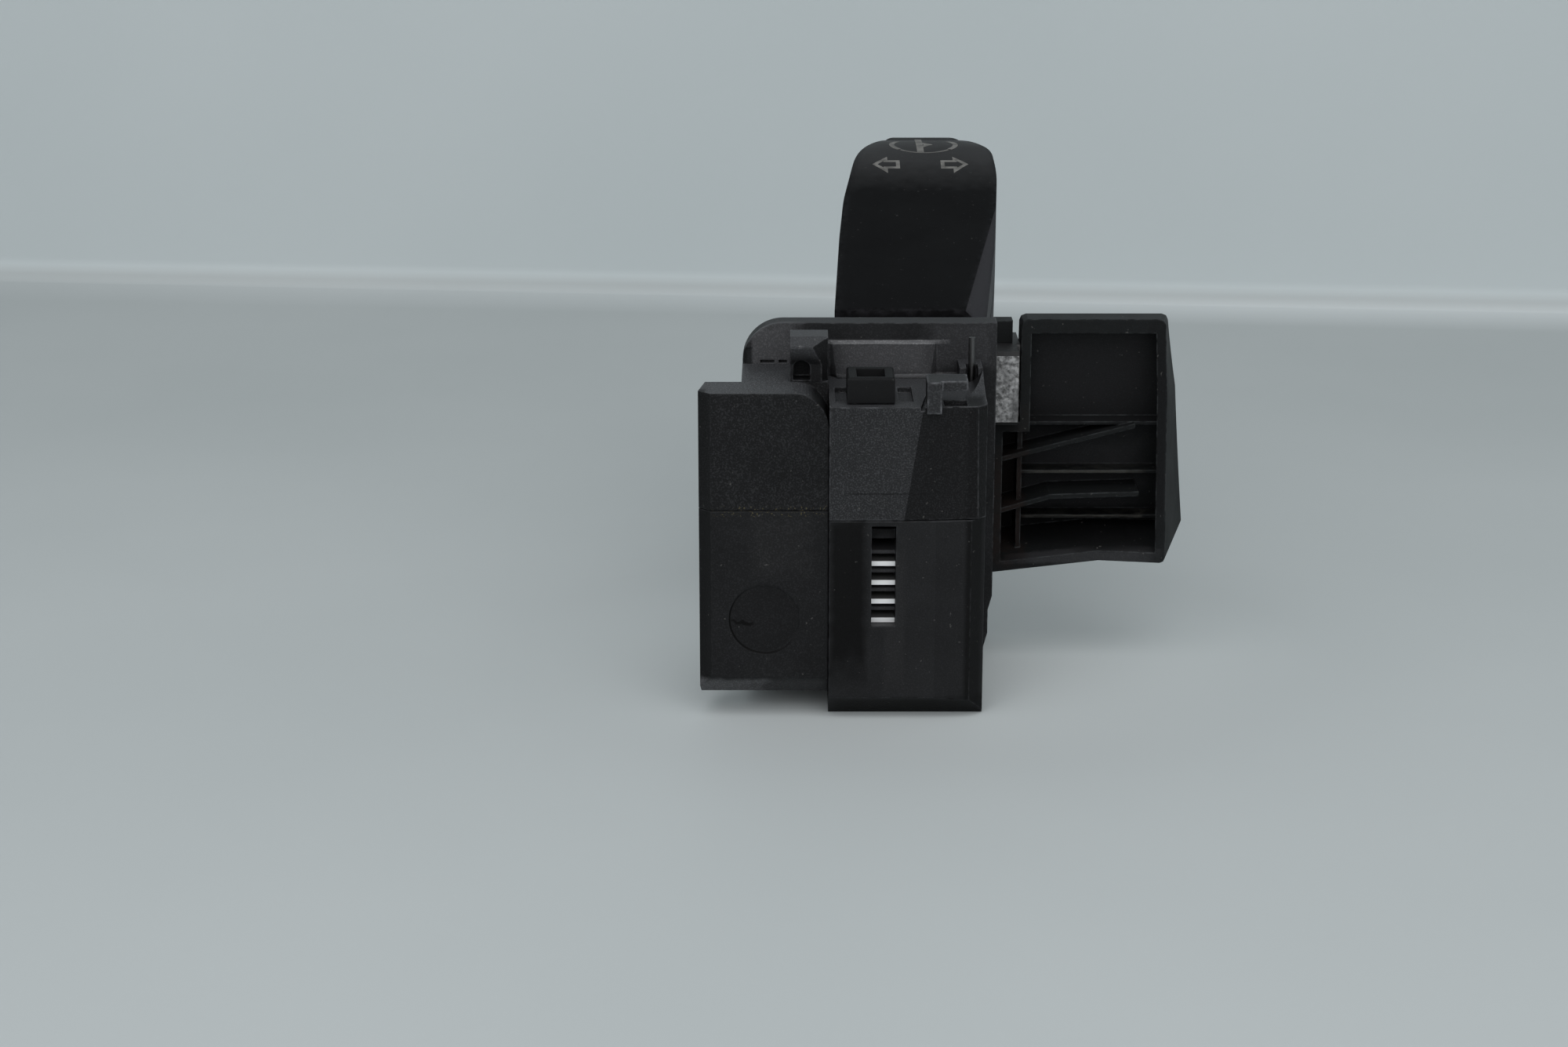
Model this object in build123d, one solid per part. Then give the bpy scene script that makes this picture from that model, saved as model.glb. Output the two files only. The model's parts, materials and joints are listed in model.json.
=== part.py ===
from build123d import *
import math
import os

# Combination stalk switch, in millimetres.
# X points right, Y from the plug face towards the lever's tip, Z up.
# The origin lies on the base plane, under the axis that the lever turns about.

# --- shared by many pieces ----------------------------------------------------------------
over = 1.0                # how far a cutter runs past the surface that it cuts
join = 0.2                # how far a wall or a boss runs into the piece that carries it
stroke_spare = 0.5        # length left free behind the end of a screw or a peg

# --- switch block -------------------------------------------------------------------------
block_left = -29.2        # outer left side of the left covers
block_right = 8.5         # outer right side of the right covers
seam_x = -12.15           # joint between the left and the right covers
seam_gap = 0.1
parting_gap = 0.12        # dark line between an upper and a lower cover
front_y = -28.0           # face of the left covers
front_depth = 17.5        # from that face to the flange
cover_wall = 1.8
floor_wall = 2.4
left_bottom = 3.0
left_top = 44.4
left_parting = 28.6
left_shoulder = 6.8       # depth of the left covers where they stand out past the flange
left_taper = 0.8
left_bevel = 1.6
left_lead = 2.6           # lead-in slope under the front face
left_round = 4.6          # rounded top corner beside the seam
round_depth = 7.0
right_top = 42.7
right_parting = 27.4
right_proud = 0.5         # the right covers stand this far in front of the left ones
right_bevel = 1.9
right_lead = 3.0
facet_angle = 5.0         # turn of the upper right cover's outer facet
facet_top_x = 0.1
facet_bottom_x = -2.3
facet_run = 4.7           # width of the two shallow facets on the terminal housing
facet_step = 0.25
facet_spare = 0.2         # extra wall behind the face that the facet thins
disc_x = -20.6
disc_z = 13.8
disc_radius = 4.7
disc_depth = 0.2

# --- flange and rear housing --------------------------------------------------------------
flange_thick = 3.6
flange_top = 50.0
flange_left = -23.6
flange_right = 10.7
flange_corner = 5.5
flange_edge = 1.4         # flat along the flange's left front edge
flange_edge_top = 46.6
# Each step of the waist: its height, and how far the right side is drawn in there.
waist_steps = ((11.6, 0.0), (9.6, 0.55), (6.2, 0.55), (4.2, 1.1))
slot_z = 44.5             # two small slots in the flange, above the left covers
slot_spans = ((-21.2, -19.3), (-18.7, -17.6))
slot_height = 0.4
slot_depth = 0.8
ramp_left = -11.8
ramp_right = 2.6
ramp_top = 47.4
ramp_depth = 1.0
ramp_narrow = 0.9
ramp_crown = 0.3
ramp_lip = 0.6
ramp_lip_height = 0.35
box_left = -17.5
box_rear = 7.0
box_top = 46.5
box_wall = 2.0
roof_wall = 2.2
box_edge = 2.5
shelf_top = 27.8
shelf_thick = 3.0
shelf_front = -6.0
shelf_left = -8.5
mouth_half = 6.3
mouth_low = 34.7
mouth_high = 43.1

# --- lever joint --------------------------------------------------------------------------
pivot_z = 37.0            # height of the axis that the lever tips about
running_fit = 0.05        # radial clearance of a pin that turns
press_gap = 0.01          # radial clearance of a pin that is pressed in
side_gap = 0.3            # play beside the lever's eye
thrust_gap = 0.15         # play above and below the carrier
swivel_pin_radius = 2.0
tilt_pin_radius = 1.5
carrier_half = 8.0
carrier_depth = 3.5
carrier_bottom = 28.3
carrier_top = 43.5
carrier_round = 1.0
window_half = 5.0
window_low = 32.7
window_high = 41.3
collar_radius = 3.5
arm_half = 3.0
arm_height = 5.0
arm_reach = 12.5
peg_reach = 10.0
peg_radius = 1.5
peg_bottom = 21.5
pin_depth = 0.8           # how far the lower swivel pin stops below the window
pin_top_gap = 0.3

# --- detent -------------------------------------------------------------------------------
nose_reach = 14.0
nose_radius = 1.75
plunger_length = 5.8
detent_bore_end = 4.5     # end of the plunger's bore, measured from the swivel axis
detent_play = 0.2
detent_step = 8.0         # degrees from one groove to the next
groove_extra = 0.45       # how much rounder a groove is than the nose
track_half = 6.0
track_gap = 0.3           # space above and below the track
track_rear = 1.0          # how far the track reaches behind the nose's path
spring_wire = 0.25        # half the wire's thickness
spring_sides = 5
spring_radius = 1.4
spring_pitch = 1.2

# --- contacts -----------------------------------------------------------------------------
slot_left = -6.5
slot_width = 3.2
slot_low = 13.0
slot_high = 26.7
sleeve_wall = 1.4
blade_count = 4
blade_pitch = 2.6
blade_first = 13.4
blade_thick = 0.65
blade_side_gap = 0.05
blade_recess = 1.0
divider_thick = 0.5
divider_start = 2.0
divider_end = 8.0
ledge_step = 2.0          # how much further back the upper ledge stands than the lower one
ledge_start = 1.0
ledge_gap = 0.26
board_front = 12.0        # board and plate distances are measured from the left covers' face
board_thick = 1.6
board_left = -9.5
board_right = 6.3
board_low = 3.2
board_high = 25.5
board_play = 0.05
pad_thick = 0.1
pad_pitch = 2.0
pad_count = 3
pad_first = 1.2           # height of the lowest pad above the slider's foot
pad_height = 1.0
pad_margin = 1.0
pad_clear = 0.6
beam_pad_pitch = 1.6
beam_pad_height = 0.9
wiper_gap = 0.05
wiper_thick = 0.15
wiper_width = 0.8
wiper_pitch = 2.0
wiper_count = 3
turn_wiper_low = 0.8
turn_wiper_high = 5.6
beam_wiper_inset = 0.4
turn_slider_half = 4.0
turn_slider_low = 20.0
turn_slider_high = 26.5
turn_slider_rear = 19.5
peg_play = 0.15
peg_slot_end = 0.6
plate_front = 7.6
plate_thick = 1.6
plate_left = -4.3
plate_right = 6.5
plate_low = 29.0
plate_high = 40.8
plate_boss_radius = 1.8
plate_boss_inset = 2.2
beam_slider_half = 5.0
beam_slider_half_height = 2.3
beam_slider_thick = 3.9
beam_travel = 1.4         # each way
tail_half = 2.0
tail_half_height = 1.75
tail_tip_half_height = 1.1
tail_reach = 16.8
tail_tip_length = 2.9
tail_play = 0.4

# --- top of the block ---------------------------------------------------------------------
finger_left = -9.8
finger_width = 6.2
finger_front = 1.0
finger_depth = 6.6
finger_top = 46.3
finger_lift = 0.15
finger_travel = 3.0
finger_edge = 0.25
finger_window_margin = 1.25
finger_window_front = 0.7
finger_window_depth = 2.2
foot_half = 1.5
foot_depth = 4.0
foot_low = 39.2
foot_play = 0.3
stop_thick = 1.2
return_spring_radius = 1.1
return_spring_pitch = 1.6
return_spring_length = 6.0
return_spring_z = 39.4
pocket_front = 2.8
pocket_length = 8.2
pocket_depth = 0.8
pocket_width = 1.9
pocket_gap = 0.6
pocket_tuck = 1.0         # how far the left pocket reaches under the finger
cheek_width = 3.1
cheek_front = 2.0
cheek_top = 45.0
cheek_crest = 12.0
cheek_bowl = 3.2
cheek_sag = 0.3           # share of the cheek's rise that its lowest bend reaches
cheek_sag_rear = 1.0      # how far that bend lies behind the middle of the slope
rail_pocket_depth = 1.2
rail_pocket_margin = 0.4
groove_front_x = -0.4
groove_rear_x = 1.9
groove_width = 0.45
groove_depth = 0.5
pawl_pin_radius = 0.45
pawl_pin_top = 48.8
pawl_pin_sunk = 2.2
pawl_pin_foot = 0.3
pawl_pocket_half = 0.8
pawl_pocket_front = 1.7
pawl_pin_x = 7.1
pawl_pin_y = 14.0
hook_left = -17.2
hook_width = 5.0
hook_front = 6.9
hook_thick = 4.9
hook_nose = 0.9
hook_top = 50.3
hook_head = 1.3
hook_crown = 0.8
hook_lip = 0.3
hook_web = 2.3
hook_flat = 3.0           # straight part of the nose, before it turns back
hook_skew = 2.4
hook_pocket_left = 0.35    # wall left of the pocket in the hook's neck
hook_pocket_width = 2.3
hook_pocket_low = 0.2
hook_pocket_height = 2.7
hook_pocket_depth = 2.8
rail_left = 0.5
rail_post = 1.9
rail_reach = 5.3
rail_top = 46.2
rail_arm = 1.3
rail_depth = 3.6
rail_lip = 0.8
rail_lip_drop = 0.7

# --- screws -------------------------------------------------------------------------------
screw_x = -20.6
screw_low = 12.0
screw_high = 37.5
screw_head_radius = 2.4
screw_head_height = 1.8
screw_radius = 1.25
screw_length = 11.0
screw_hole_gap = 0.15
screw_drive = 1.3
screw_drive_depth = 0.9
screw_boss_radius = 2.6

# --- lever --------------------------------------------------------------------------------
lever_root = 10.5
lever_top_root = 47.2
lever_low_root = 34.5
lever_bend = 52.0
lever_bend_top = 60.7
lever_crest_run = 18.0    # from the end of the straight top to the crest
lever_crest_rise = 1.65
lever_tip_run = 6.5       # from the crest to the tip
lever_tip_drop = 4.95
lever_tip_depth = 9.95    # depth of the lever under its crest
lever_left_root = -10.85
lever_right_root = 10.5
lever_widest = 14.6
lever_left_side = ((-9.85, 31.0, 60.0), (-9.05, 42.3, 60.0), (-6.7, 58.1, 40.0), (-1.8, 70.3, 14.0))
lever_nose = (4.0, 77.9, 5.0)
lever_right_side = ((10.7, 68.9, 17.0), (14.25, 59.5, 17.0), (14.6, 50.0, 50.0), (13.1, 31.0, 60.0))
lever_wall = 1.8
lever_parting_root = 40.5
lever_parting_slope = 0.2545
lever_seam = 0.1
lever_far = 40.0          # these two bound the bodies that are cut to the lever's shape
lever_high = 90.0
bevel_width = 3.0
bevel_end = 44.0
bevel_reach = 10.0        # the cutter for this flat stands out by as much as this
core_fit = 0.1
core_end = 34.0
core_start = 12.6
tongue_half_height = 2.5
tongue_slope = 0.314
eye_radius = 3.4
rib_pitch = 8.0
rib_thick = 1.6
core_web = 2.0
core_first = 1.0          # space between the first rib and the first pocket
core_join = 1.0

# --- shroud -------------------------------------------------------------------------------
bracket_width = 3.4
bracket_front = -6.0
bracket_depth = 13.0
bracket_low = 34.6
bracket_top = 44.9
bracket_edge = 0.5
bracket_shoulder = 5.0    # depth at which the bracket widens to meet the shroud
clip_width = 2.5
clip_left_gap = 0.4
clip_front = 0.0
clip_depth = 2.6
clip_height = 3.15
shroud_front = -3.0
shroud_depth = 11.2
shroud_top_depth = 4.6    # the back slants from this depth at the top to the full depth
shroud_wall = 1.4
shroud_top_wall = 2.0
shroud_gap = 0.5          # dark line between the bracket and the shroud
shroud_top = 48.9
shroud_drop = 0.4
shroud_right = 34.4
shroud_lean = 0.95
shroud_flare_top = 1.9    # these three: how far the back stands out past the front rim
shroud_flare_bend = 3.2
shroud_flare = 3.65
shroud_bend = 38.0
shroud_low = 14.05
shroud_low_corner = 0.7
shroud_low_left = 12.7
shroud_arch = 14.45
shroud_arch_x = 26.0
shroud_rise = 2.4
shroud_notch_gap = 0.2
shroud_corner = 0.9
shroud_bend_share = 0.5   # share of the lean that the right side has at the bend
shroud_rib = 0.5
shroud_rib_height = 3.5
rib_heights = (33.8, 26.4, 19.5)
web_setback = 1.6
web_thick = 0.7
post_setback = 3.4        # how far the upright web under the notch stands back
front_spare = 0.01        # the hollow starts this far in front of the rim
web_lines = (((11.0, 28.7), (30.8, 33.8)), ((11.0, 21.2), (19.2, 23.6), (31.6, 24.0)))


def block(x_span, y_span, z_span):
    """A box between the low and the high end on each axis."""
    spans = (x_span, y_span, z_span)
    middle = [(low + high) / 2 for low, high in spans]
    sides = [high - low for low, high in spans]
    return Pos(*middle) * Box(*sides)


def outline(points):
    """The flat face inside a closed run of straight lines."""
    return make_face(Polyline(*points, close=True))


def prism_x(points, x_low, x_high):
    """An outline in Y and Z, carried from one X to another."""
    return extrude(Plane.YZ.offset(x_low) * outline(points), amount=x_high - x_low)


def prism_y(points, y_low, y_high):
    """An outline in X and Z, carried from one Y to another."""
    return extrude(Plane.XZ.offset(-y_high) * outline(points), amount=y_high - y_low)


def prism_z(points, z_low, z_high):
    """An outline in X and Y, carried from one Z to another."""
    return extrude(Plane.XY.offset(z_low) * outline(points), amount=z_high - z_low)


def rod_x(y, z, radius, x_low, x_high):
    """A cylinder along X."""
    return Pos((x_low + x_high) / 2, y, z) * Rot(0, 90, 0) * Cylinder(radius, x_high - x_low)


def rod_y(x, z, radius, y_low, y_high):
    """A cylinder along Y."""
    return Pos(x, (y_low + y_high) / 2, z) * Rot(90, 0, 0) * Cylinder(radius, y_high - y_low)


def rod_z(x, y, radius, z_low, z_high):
    """A cylinder along Z."""
    return Pos(x, y, (z_low + z_high) / 2) * Cylinder(radius, z_high - z_low)


def coil(x, y_low, z, radius, wire, pitch, length):
    """A helical spring along Y that fills the given length, wire included."""
    path = Helix(pitch=pitch, height=length - 2 * wire, radius=radius - wire)
    section = Plane(origin=path @ 0, z_dir=path % 0) * RegularPolygon(wire, spring_sides)
    return Pos(x, y_low + wire, z) * Rot(-90, 0, 0) * sweep(section, path=path, is_frenet=True)


# Places that several pieces share.
flange_front = front_y + front_depth
flange_rear = flange_front + flange_thick
left_edge = seam_x - seam_gap / 2
right_edge = seam_x + seam_gap / 2
right_front = front_y - right_proud
right_inner_left = right_edge + cover_wall
right_inner_right = block_right - cover_wall
right_inner_front = right_front + cover_wall + facet_spare
deck_under = right_top - cover_wall
roof_under = box_top - roof_wall
box_inner_rear = box_rear - box_wall
arm_z = carrier_bottom + arm_height / 2
board_y = front_y + board_front
board_rear = board_y + board_thick
plate_y = front_y + plate_front
plate_rear = plate_y + plate_thick
slot_right = slot_left + slot_width
finger_right = finger_left + finger_width
finger_middle = finger_left + finger_width / 2
foot_rear = front_y + finger_front + foot_depth
bracket_right = flange_right + bracket_width
shroud_left = bracket_right + shroud_gap
shroud_heel = flange_right + shroud_notch_gap
lever_crest = lever_bend + lever_crest_run
lever_crest_top = lever_bend_top + lever_crest_rise
lever_tip = lever_crest + lever_tip_run
lever_tip_z = lever_crest_top - lever_tip_drop
lever_tip_low = lever_crest_top - lever_tip_depth
lever_slope = (lever_bend_top - lever_top_root) / (lever_bend - lever_root)
track_low = carrier_bottom + track_gap
track_high = pivot_z - beam_slider_half_height - beam_travel - track_gap


def lead_in(x_low, x_high, face_y, bottom, size):
    """The wedge cut away under a front face."""
    points = [(face_y - over, bottom + size + over), (face_y + size + over, bottom - over),
              (face_y - over, bottom - over)]
    return prism_x(points, x_low, x_high)


def left_body(z_low, z_high):
    """The left covers' plan, wide at the face and narrow against the flange."""
    points = [
        (block_left + left_bevel, front_y),
        (left_edge, front_y),
        (left_edge, flange_front),
        (flange_left, flange_front),
        (flange_left, front_y + left_shoulder),
        (block_left + left_taper, front_y + left_shoulder),
        (block_left, front_y + left_bevel),
    ]
    return prism_z(points, z_low, z_high)


def left_hollow(z_low, z_high):
    """The space inside the left covers, open towards the flange."""
    points = [
        (block_left + left_bevel + cover_wall, front_y + cover_wall),
        (left_edge - cover_wall, front_y + cover_wall),
        (left_edge - cover_wall, flange_front + over),
        (flange_left + cover_wall, flange_front + over),
        (flange_left + cover_wall, front_y + left_shoulder - cover_wall),
        (block_left + left_bevel + cover_wall, front_y + left_shoulder - cover_wall),
    ]
    return prism_z(points, z_low, z_high)


def screw_boss(z):
    """The post that a housing screw bites into, from the front wall to the flange."""
    post = rod_y(screw_x, z, screw_boss_radius, front_y + cover_wall / 2, flange_front)
    bite = rod_y(screw_x, z, screw_radius + press_gap, flange_rear - screw_length - stroke_spare,
                 flange_front + over)
    return post, bite


def left_cover_upper():
    """Upper left cover with the rounded corner beside the seam."""
    low = left_parting + parting_gap
    post, bite = screw_boss(screw_high)
    body = left_body(low, left_top) - left_hollow(low - over, left_top - cover_wall)
    body = body + post - bite
    corner_x = left_edge - left_round
    corner_z = left_top - left_round
    step_y = front_y + round_depth
    corner = block((corner_x, left_edge + over), (front_y - over, step_y), (corner_z, left_top + over))
    corner -= rod_y(corner_x, corner_z, left_round, front_y - 2, step_y + over)
    return body - corner


def left_cover_lower():
    """Lower left cover with the lead-in slope and the round mark in its face."""
    post, bite = screw_boss(screw_low)
    body = left_body(left_bottom, left_parting)
    body -= left_hollow(left_bottom + floor_wall, left_parting + over)
    body = body + post - bite
    body -= lead_in(block_left - over, left_edge + over, front_y, left_bottom, left_lead)
    return body - rod_y(disc_x, disc_z, disc_radius, front_y - over, front_y + disc_depth)


def right_hollow(z_low, z_high):
    """The space inside the right covers, open towards the flange."""
    return block(
        (right_inner_left, right_inner_right), (right_inner_front, flange_front + over), (z_low, z_high)
    )


def cheek():
    """The curved rise at the deck's right side, which carries the pawl pin."""
    start = (front_y + cheek_front, right_top)
    crest = (front_y + cheek_crest, cheek_top)
    sag_y = front_y + (cheek_front + cheek_crest) / 2 + cheek_sag_rear
    sag = (sag_y, right_top + (cheek_top - right_top) * cheek_sag)
    side = ThreePointArc(start, sag, crest)
    side += Polyline(crest, (flange_front, cheek_top), (flange_front, right_top - over))
    side += Polyline((flange_front, right_top - over), (start[0], right_top - over), start)
    rise = extrude(Plane.YZ.offset(block_right - cheek_width) * make_face(side), amount=cheek_width)
    bowl_end = front_y + pawl_pin_y - pawl_pocket_front
    return rise - rod_y(block_right - cheek_width, right_top + cheek_bowl, cheek_bowl, front_y, bowl_end)


def facet_cut():
    """The slice that turns the upper cover's right part away from the plug face."""
    bottom = right_parting - over
    top = right_top + over
    lean = (facet_top_x - facet_bottom_x) / (right_top - right_parting)
    bottom_x = facet_bottom_x - lean
    top_x = facet_top_x + lean
    wide = block_right + over
    depth_low = (wide - bottom_x) * math.tan(math.radians(facet_angle))
    depth_high = (wide - top_x) * math.tan(math.radians(facet_angle))
    low = outline([(bottom_x, right_front), (wide, right_front - over), (wide, right_front + depth_low)])
    high = outline([(top_x, right_front), (wide, right_front - over), (wide, right_front + depth_high)])
    return loft([Pos(0, 0, bottom) * low, Pos(0, 0, top) * high])


def deck_pocket(x_low):
    """A shallow pocket beside the finger."""
    y_low = front_y + pocket_front
    return block((x_low, x_low + pocket_width), (y_low, y_low + pocket_length),
                 (right_top - pocket_depth, right_top + over))


def deck_groove():
    """The slanted groove in the deck, beside the rail."""
    points = [(groove_front_x, right_front - over), (groove_front_x + groove_width, right_front - over),
              (groove_rear_x + groove_width, flange_front - ramp_depth - ramp_lip),
              (groove_rear_x, flange_front - ramp_depth - ramp_lip)]
    return prism_z(points, right_top - groove_depth, right_top + over)


def rail_pocket():
    """The pocket in the deck under the rail's arm."""
    x_low = rail_left + rail_post + rail_pocket_margin
    x_high = rail_left + rail_reach
    return block((x_low, x_high), (front_y + rail_pocket_margin, front_y + rail_depth),
                 (right_top - rail_pocket_depth, right_top + over))


def finger_slot():
    """The slot in the deck that the finger's foot slides along."""
    y_low = front_y + finger_front + (finger_depth - foot_depth) / 2 - foot_play - foot_depth / 2
    y_high = foot_rear + finger_travel + finger_depth - foot_depth
    half = foot_half + foot_play
    return block((finger_middle - half, finger_middle + half), (max(y_low, right_inner_front), y_high),
                 (deck_under - over, right_top + over))


def contact_cover():
    """Upper right cover: deck, facets, cheek, and the bosses for the beam plate."""
    low = right_parting + parting_gap
    points = [
        (right_edge, right_front),
        (block_right - right_bevel, right_front),
        (block_right, right_front + right_bevel),
        (block_right, flange_front),
        (right_edge, flange_front),
    ]
    body = prism_z(points, low, right_top) - right_hollow(low - over, deck_under)
    body -= facet_cut()
    body += cheek()
    for z in (plate_low + plate_boss_inset, plate_high - plate_boss_inset):
        for x in (plate_left + plate_boss_inset, plate_right - plate_boss_inset):
            body += rod_y(x, z, plate_boss_radius, right_inner_front - join, plate_y)
    stop_y = foot_rear + return_spring_length
    body += block((finger_middle - foot_half, finger_middle + foot_half),
                  (stop_y, stop_y + stop_thick), (foot_low - foot_half, deck_under + join))
    body -= finger_slot()
    body -= deck_pocket(finger_left - pocket_gap - pocket_width + pocket_tuck)
    body -= deck_pocket(finger_right + pocket_gap)
    body -= deck_groove()
    body -= rail_pocket()
    pin_y = front_y + pawl_pin_y
    body -= rod_z(pawl_pin_x, pin_y, pawl_pin_radius + press_gap, deck_under + pawl_pin_foot,
                  cheek_top + over)
    return body - block((pawl_pin_x - pawl_pocket_half, pawl_pin_x + pawl_pocket_half),
                        (pin_y - pawl_pocket_front, pin_y + pawl_pocket_half),
                        (cheek_top - pawl_pin_sunk, cheek_top + over))


def terminal_housing():
    """Lower right cover: plug face, terminal slot, dividers and the sleeve up to the board."""
    facet_x = block_right - right_bevel - facet_run
    points = [
        (right_edge, right_front),
        (facet_x, right_front),
        (facet_x + facet_run / 2, right_front + facet_step),
        (block_right - right_bevel, right_front + 2 * facet_step),
        (block_right, right_front + 2 * facet_step + right_bevel),
        (block_right, flange_front),
        (right_edge, flange_front),
    ]
    body = prism_z(points, 0, right_parting) - right_hollow(floor_wall, right_parting + over)
    body += block((slot_left - sleeve_wall, slot_right + sleeve_wall),
                  (right_front + cover_wall / 2, board_y), (slot_low - sleeve_wall, right_parting))
    body -= block((slot_left, slot_right), (right_front - over, board_y + over), (slot_low, slot_high))
    for index in range(blade_count):
        z = blade_first + (index + 0.5) * blade_pitch
        body += block((slot_left - join, slot_right + join),
                      (front_y + divider_start, front_y + divider_end),
                      (z - divider_thick / 2, z + divider_thick / 2))
    ledge_low = blade_first + blade_count * blade_pitch + ledge_gap
    ledge_middle = (ledge_low + slot_high) / 2
    ledge_y = front_y + divider_start + ledge_start
    body += block((slot_left - join, slot_right + join), (ledge_y, front_y + divider_end),
                  (ledge_low, ledge_middle))
    body += block((slot_left - join, slot_right + join), (ledge_y + ledge_step, front_y + divider_end),
                  (ledge_middle, slot_high + join))
    return body - lead_in(right_edge - over, block_right + over, right_front, 0, right_lead)


def blade_boxes(clearance):
    """The flat contact blades, each grown by a clearance."""
    boxes = []
    for index in range(blade_count):
        z = blade_first + index * blade_pitch
        half = blade_thick / 2 + clearance
        boxes.append(block(
            (slot_left + blade_side_gap - clearance, slot_right - blade_side_gap + clearance),
            (front_y + blade_recess, board_rear + clearance), (z - half, z + half)))
    return boxes


def terminal_blades():
    """The plug's flat blades, from the slot's mouth through the board."""
    return blade_boxes(0)


def circuit_board():
    """The board behind the plug, pierced by the blades."""
    board = block((board_left, board_right), (board_y, board_rear), (board_low, board_high))
    for blade in blade_boxes(board_play):
        board -= blade
    return board


def strips(x_middle, y_low, thick, z_low, z_high):
    """Three upright strips side by side."""
    shift = (wiper_count - 1) / 2
    return [
        block((x_middle + (index - shift) * wiper_pitch - wiper_width / 2,
               x_middle + (index - shift) * wiper_pitch + wiper_width / 2),
              (y_low, y_low + thick), (z_low, z_high))
        for index in range(wiper_count)
    ]


turn_wiper_y = board_rear + pad_thick + wiper_gap
turn_slider_front = turn_wiper_y + wiper_thick
beam_wiper_y = plate_rear + pad_thick + wiper_gap
beam_slider_front = beam_wiper_y + wiper_thick
beam_slider_rear = beam_slider_front + beam_slider_thick


def fixed_contacts():
    """Copper pads on the board, one row for the turn slider."""
    pads = []
    for index in range(pad_count):
        z = turn_slider_low + pad_first + index * pad_pitch
        top = min(z + pad_height / 2, board_high)
        pads.append(block((slot_right + pad_clear, turn_slider_half + pad_margin),
                          (board_rear, board_rear + pad_thick), (z - pad_height / 2, top)))
    return pads


def turn_contact_slider():
    """Slider behind the board, driven by the carrier's peg in its open slot."""
    rear = front_y + turn_slider_rear
    body = block((-turn_slider_half, turn_slider_half), (turn_slider_front, rear),
                 (turn_slider_low, turn_slider_high))
    half = peg_radius + peg_play
    return body - block((-half, half), (-peg_reach - peg_radius - peg_slot_end, rear + over),
                        (peg_bottom - stroke_spare, turn_slider_high + over))


def turn_wipers():
    """Spring strips on the turn slider's face."""
    return strips(0, turn_wiper_y, wiper_thick, turn_slider_low + turn_wiper_low,
                  turn_slider_low + turn_wiper_high)


def beam_plate():
    """The plate that carries the beam contacts and the detent track."""
    return block((plate_left, plate_right), (plate_y, plate_rear), (plate_low, plate_high))


def beam_contacts():
    """Copper pads on the beam plate."""
    return [
        block((-beam_slider_half + pad_margin, beam_slider_half - pad_margin),
              (plate_rear, plate_rear + pad_thick), (z - beam_pad_height / 2, z + beam_pad_height / 2))
        for z in (pivot_z - beam_pad_pitch, pivot_z, pivot_z + beam_pad_pitch)
    ]


def beam_contact_slider():
    """Slider that rises and falls with the lever's tail, which sits in its groove."""
    body = block((-beam_slider_half, beam_slider_half), (beam_slider_front, beam_slider_rear),
                 (pivot_z - beam_slider_half_height, pivot_z + beam_slider_half_height))
    half = tail_tip_half_height + tail_play
    return body - block((-beam_slider_half - over, beam_slider_half + over),
                        (-tail_reach - tail_play, beam_slider_rear + over),
                        (pivot_z - half, pivot_z + half))


def beam_wipers():
    """Spring strips on the beam slider's face."""
    half = beam_slider_half_height - beam_wiper_inset
    return strips(0, beam_wiper_y, wiper_thick, pivot_z - half, pivot_z + half)


def polar(reach, degrees):
    """A point in front of the swivel axis, at a reach and a turn from straight ahead."""
    turn = math.radians(degrees)
    return reach * math.sin(turn), -reach * math.cos(turn)


def detent_track():
    """Block with a hollow face and a groove for each place where the lever stays."""
    body = block((-track_half, track_half), (plate_rear, -nose_reach + track_rear), (track_low, track_high))
    body -= rod_z(0, 0, nose_reach + detent_play, track_low - over, track_high + over)
    for step in (-1, 0, 1):
        x, y = polar(nose_reach - nose_radius, step * detent_step)
        body -= rod_z(x, y, nose_radius + groove_extra, track_low - over, track_high + over)
    return body


def detent_plunger():
    """Round-nosed plunger in the carrier's arm."""
    tip = -nose_reach + nose_radius
    body = rod_y(0, arm_z, nose_radius, tip, -nose_reach + plunger_length)
    return body + Pos(0, tip, arm_z) * Sphere(nose_radius)


def detent_spring():
    """Coil behind the plunger."""
    start = -nose_reach + plunger_length
    return coil(0, start, arm_z, spring_radius, spring_wire, spring_pitch, -detent_bore_end - start)


def turn_carrier():
    """The frame that turns with the lever, with the detent arm and the drive peg."""
    body = block((-carrier_half, carrier_half), (-carrier_depth, carrier_depth),
                 (carrier_bottom, carrier_top))
    body = fillet(body.edges().filter_by(Axis.Z), carrier_round)
    body += rod_z(0, 0, collar_radius, carrier_top - over, roof_under - thrust_gap)
    body += rod_z(0, 0, collar_radius, shelf_top + thrust_gap, carrier_bottom + over)
    body += block((-arm_half, arm_half), (-arm_reach, -carrier_depth + over),
                  (carrier_bottom, carrier_bottom + arm_height))
    body += rod_z(0, -peg_reach, peg_radius, peg_bottom, carrier_bottom + join)
    body -= block((-window_half, window_half), (-carrier_depth - over, carrier_depth + over),
                  (window_low, window_high))
    body -= block((-arm_half - over, arm_half + over), (-carrier_depth - over, -carrier_depth + over),
                  (carrier_bottom + arm_height, window_low + over))
    body -= rod_y(0, arm_z, nose_radius + running_fit, -arm_reach - over, -detent_bore_end)
    body -= rod_z(0, 0, swivel_pin_radius + running_fit, window_high - over, roof_under + over)
    body -= rod_z(0, 0, swivel_pin_radius + running_fit, shelf_top - over,
                  window_low - pin_depth + pin_top_gap)
    return body - rod_x(0, pivot_z, tilt_pin_radius + press_gap, -carrier_half - over, carrier_half + over)


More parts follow.
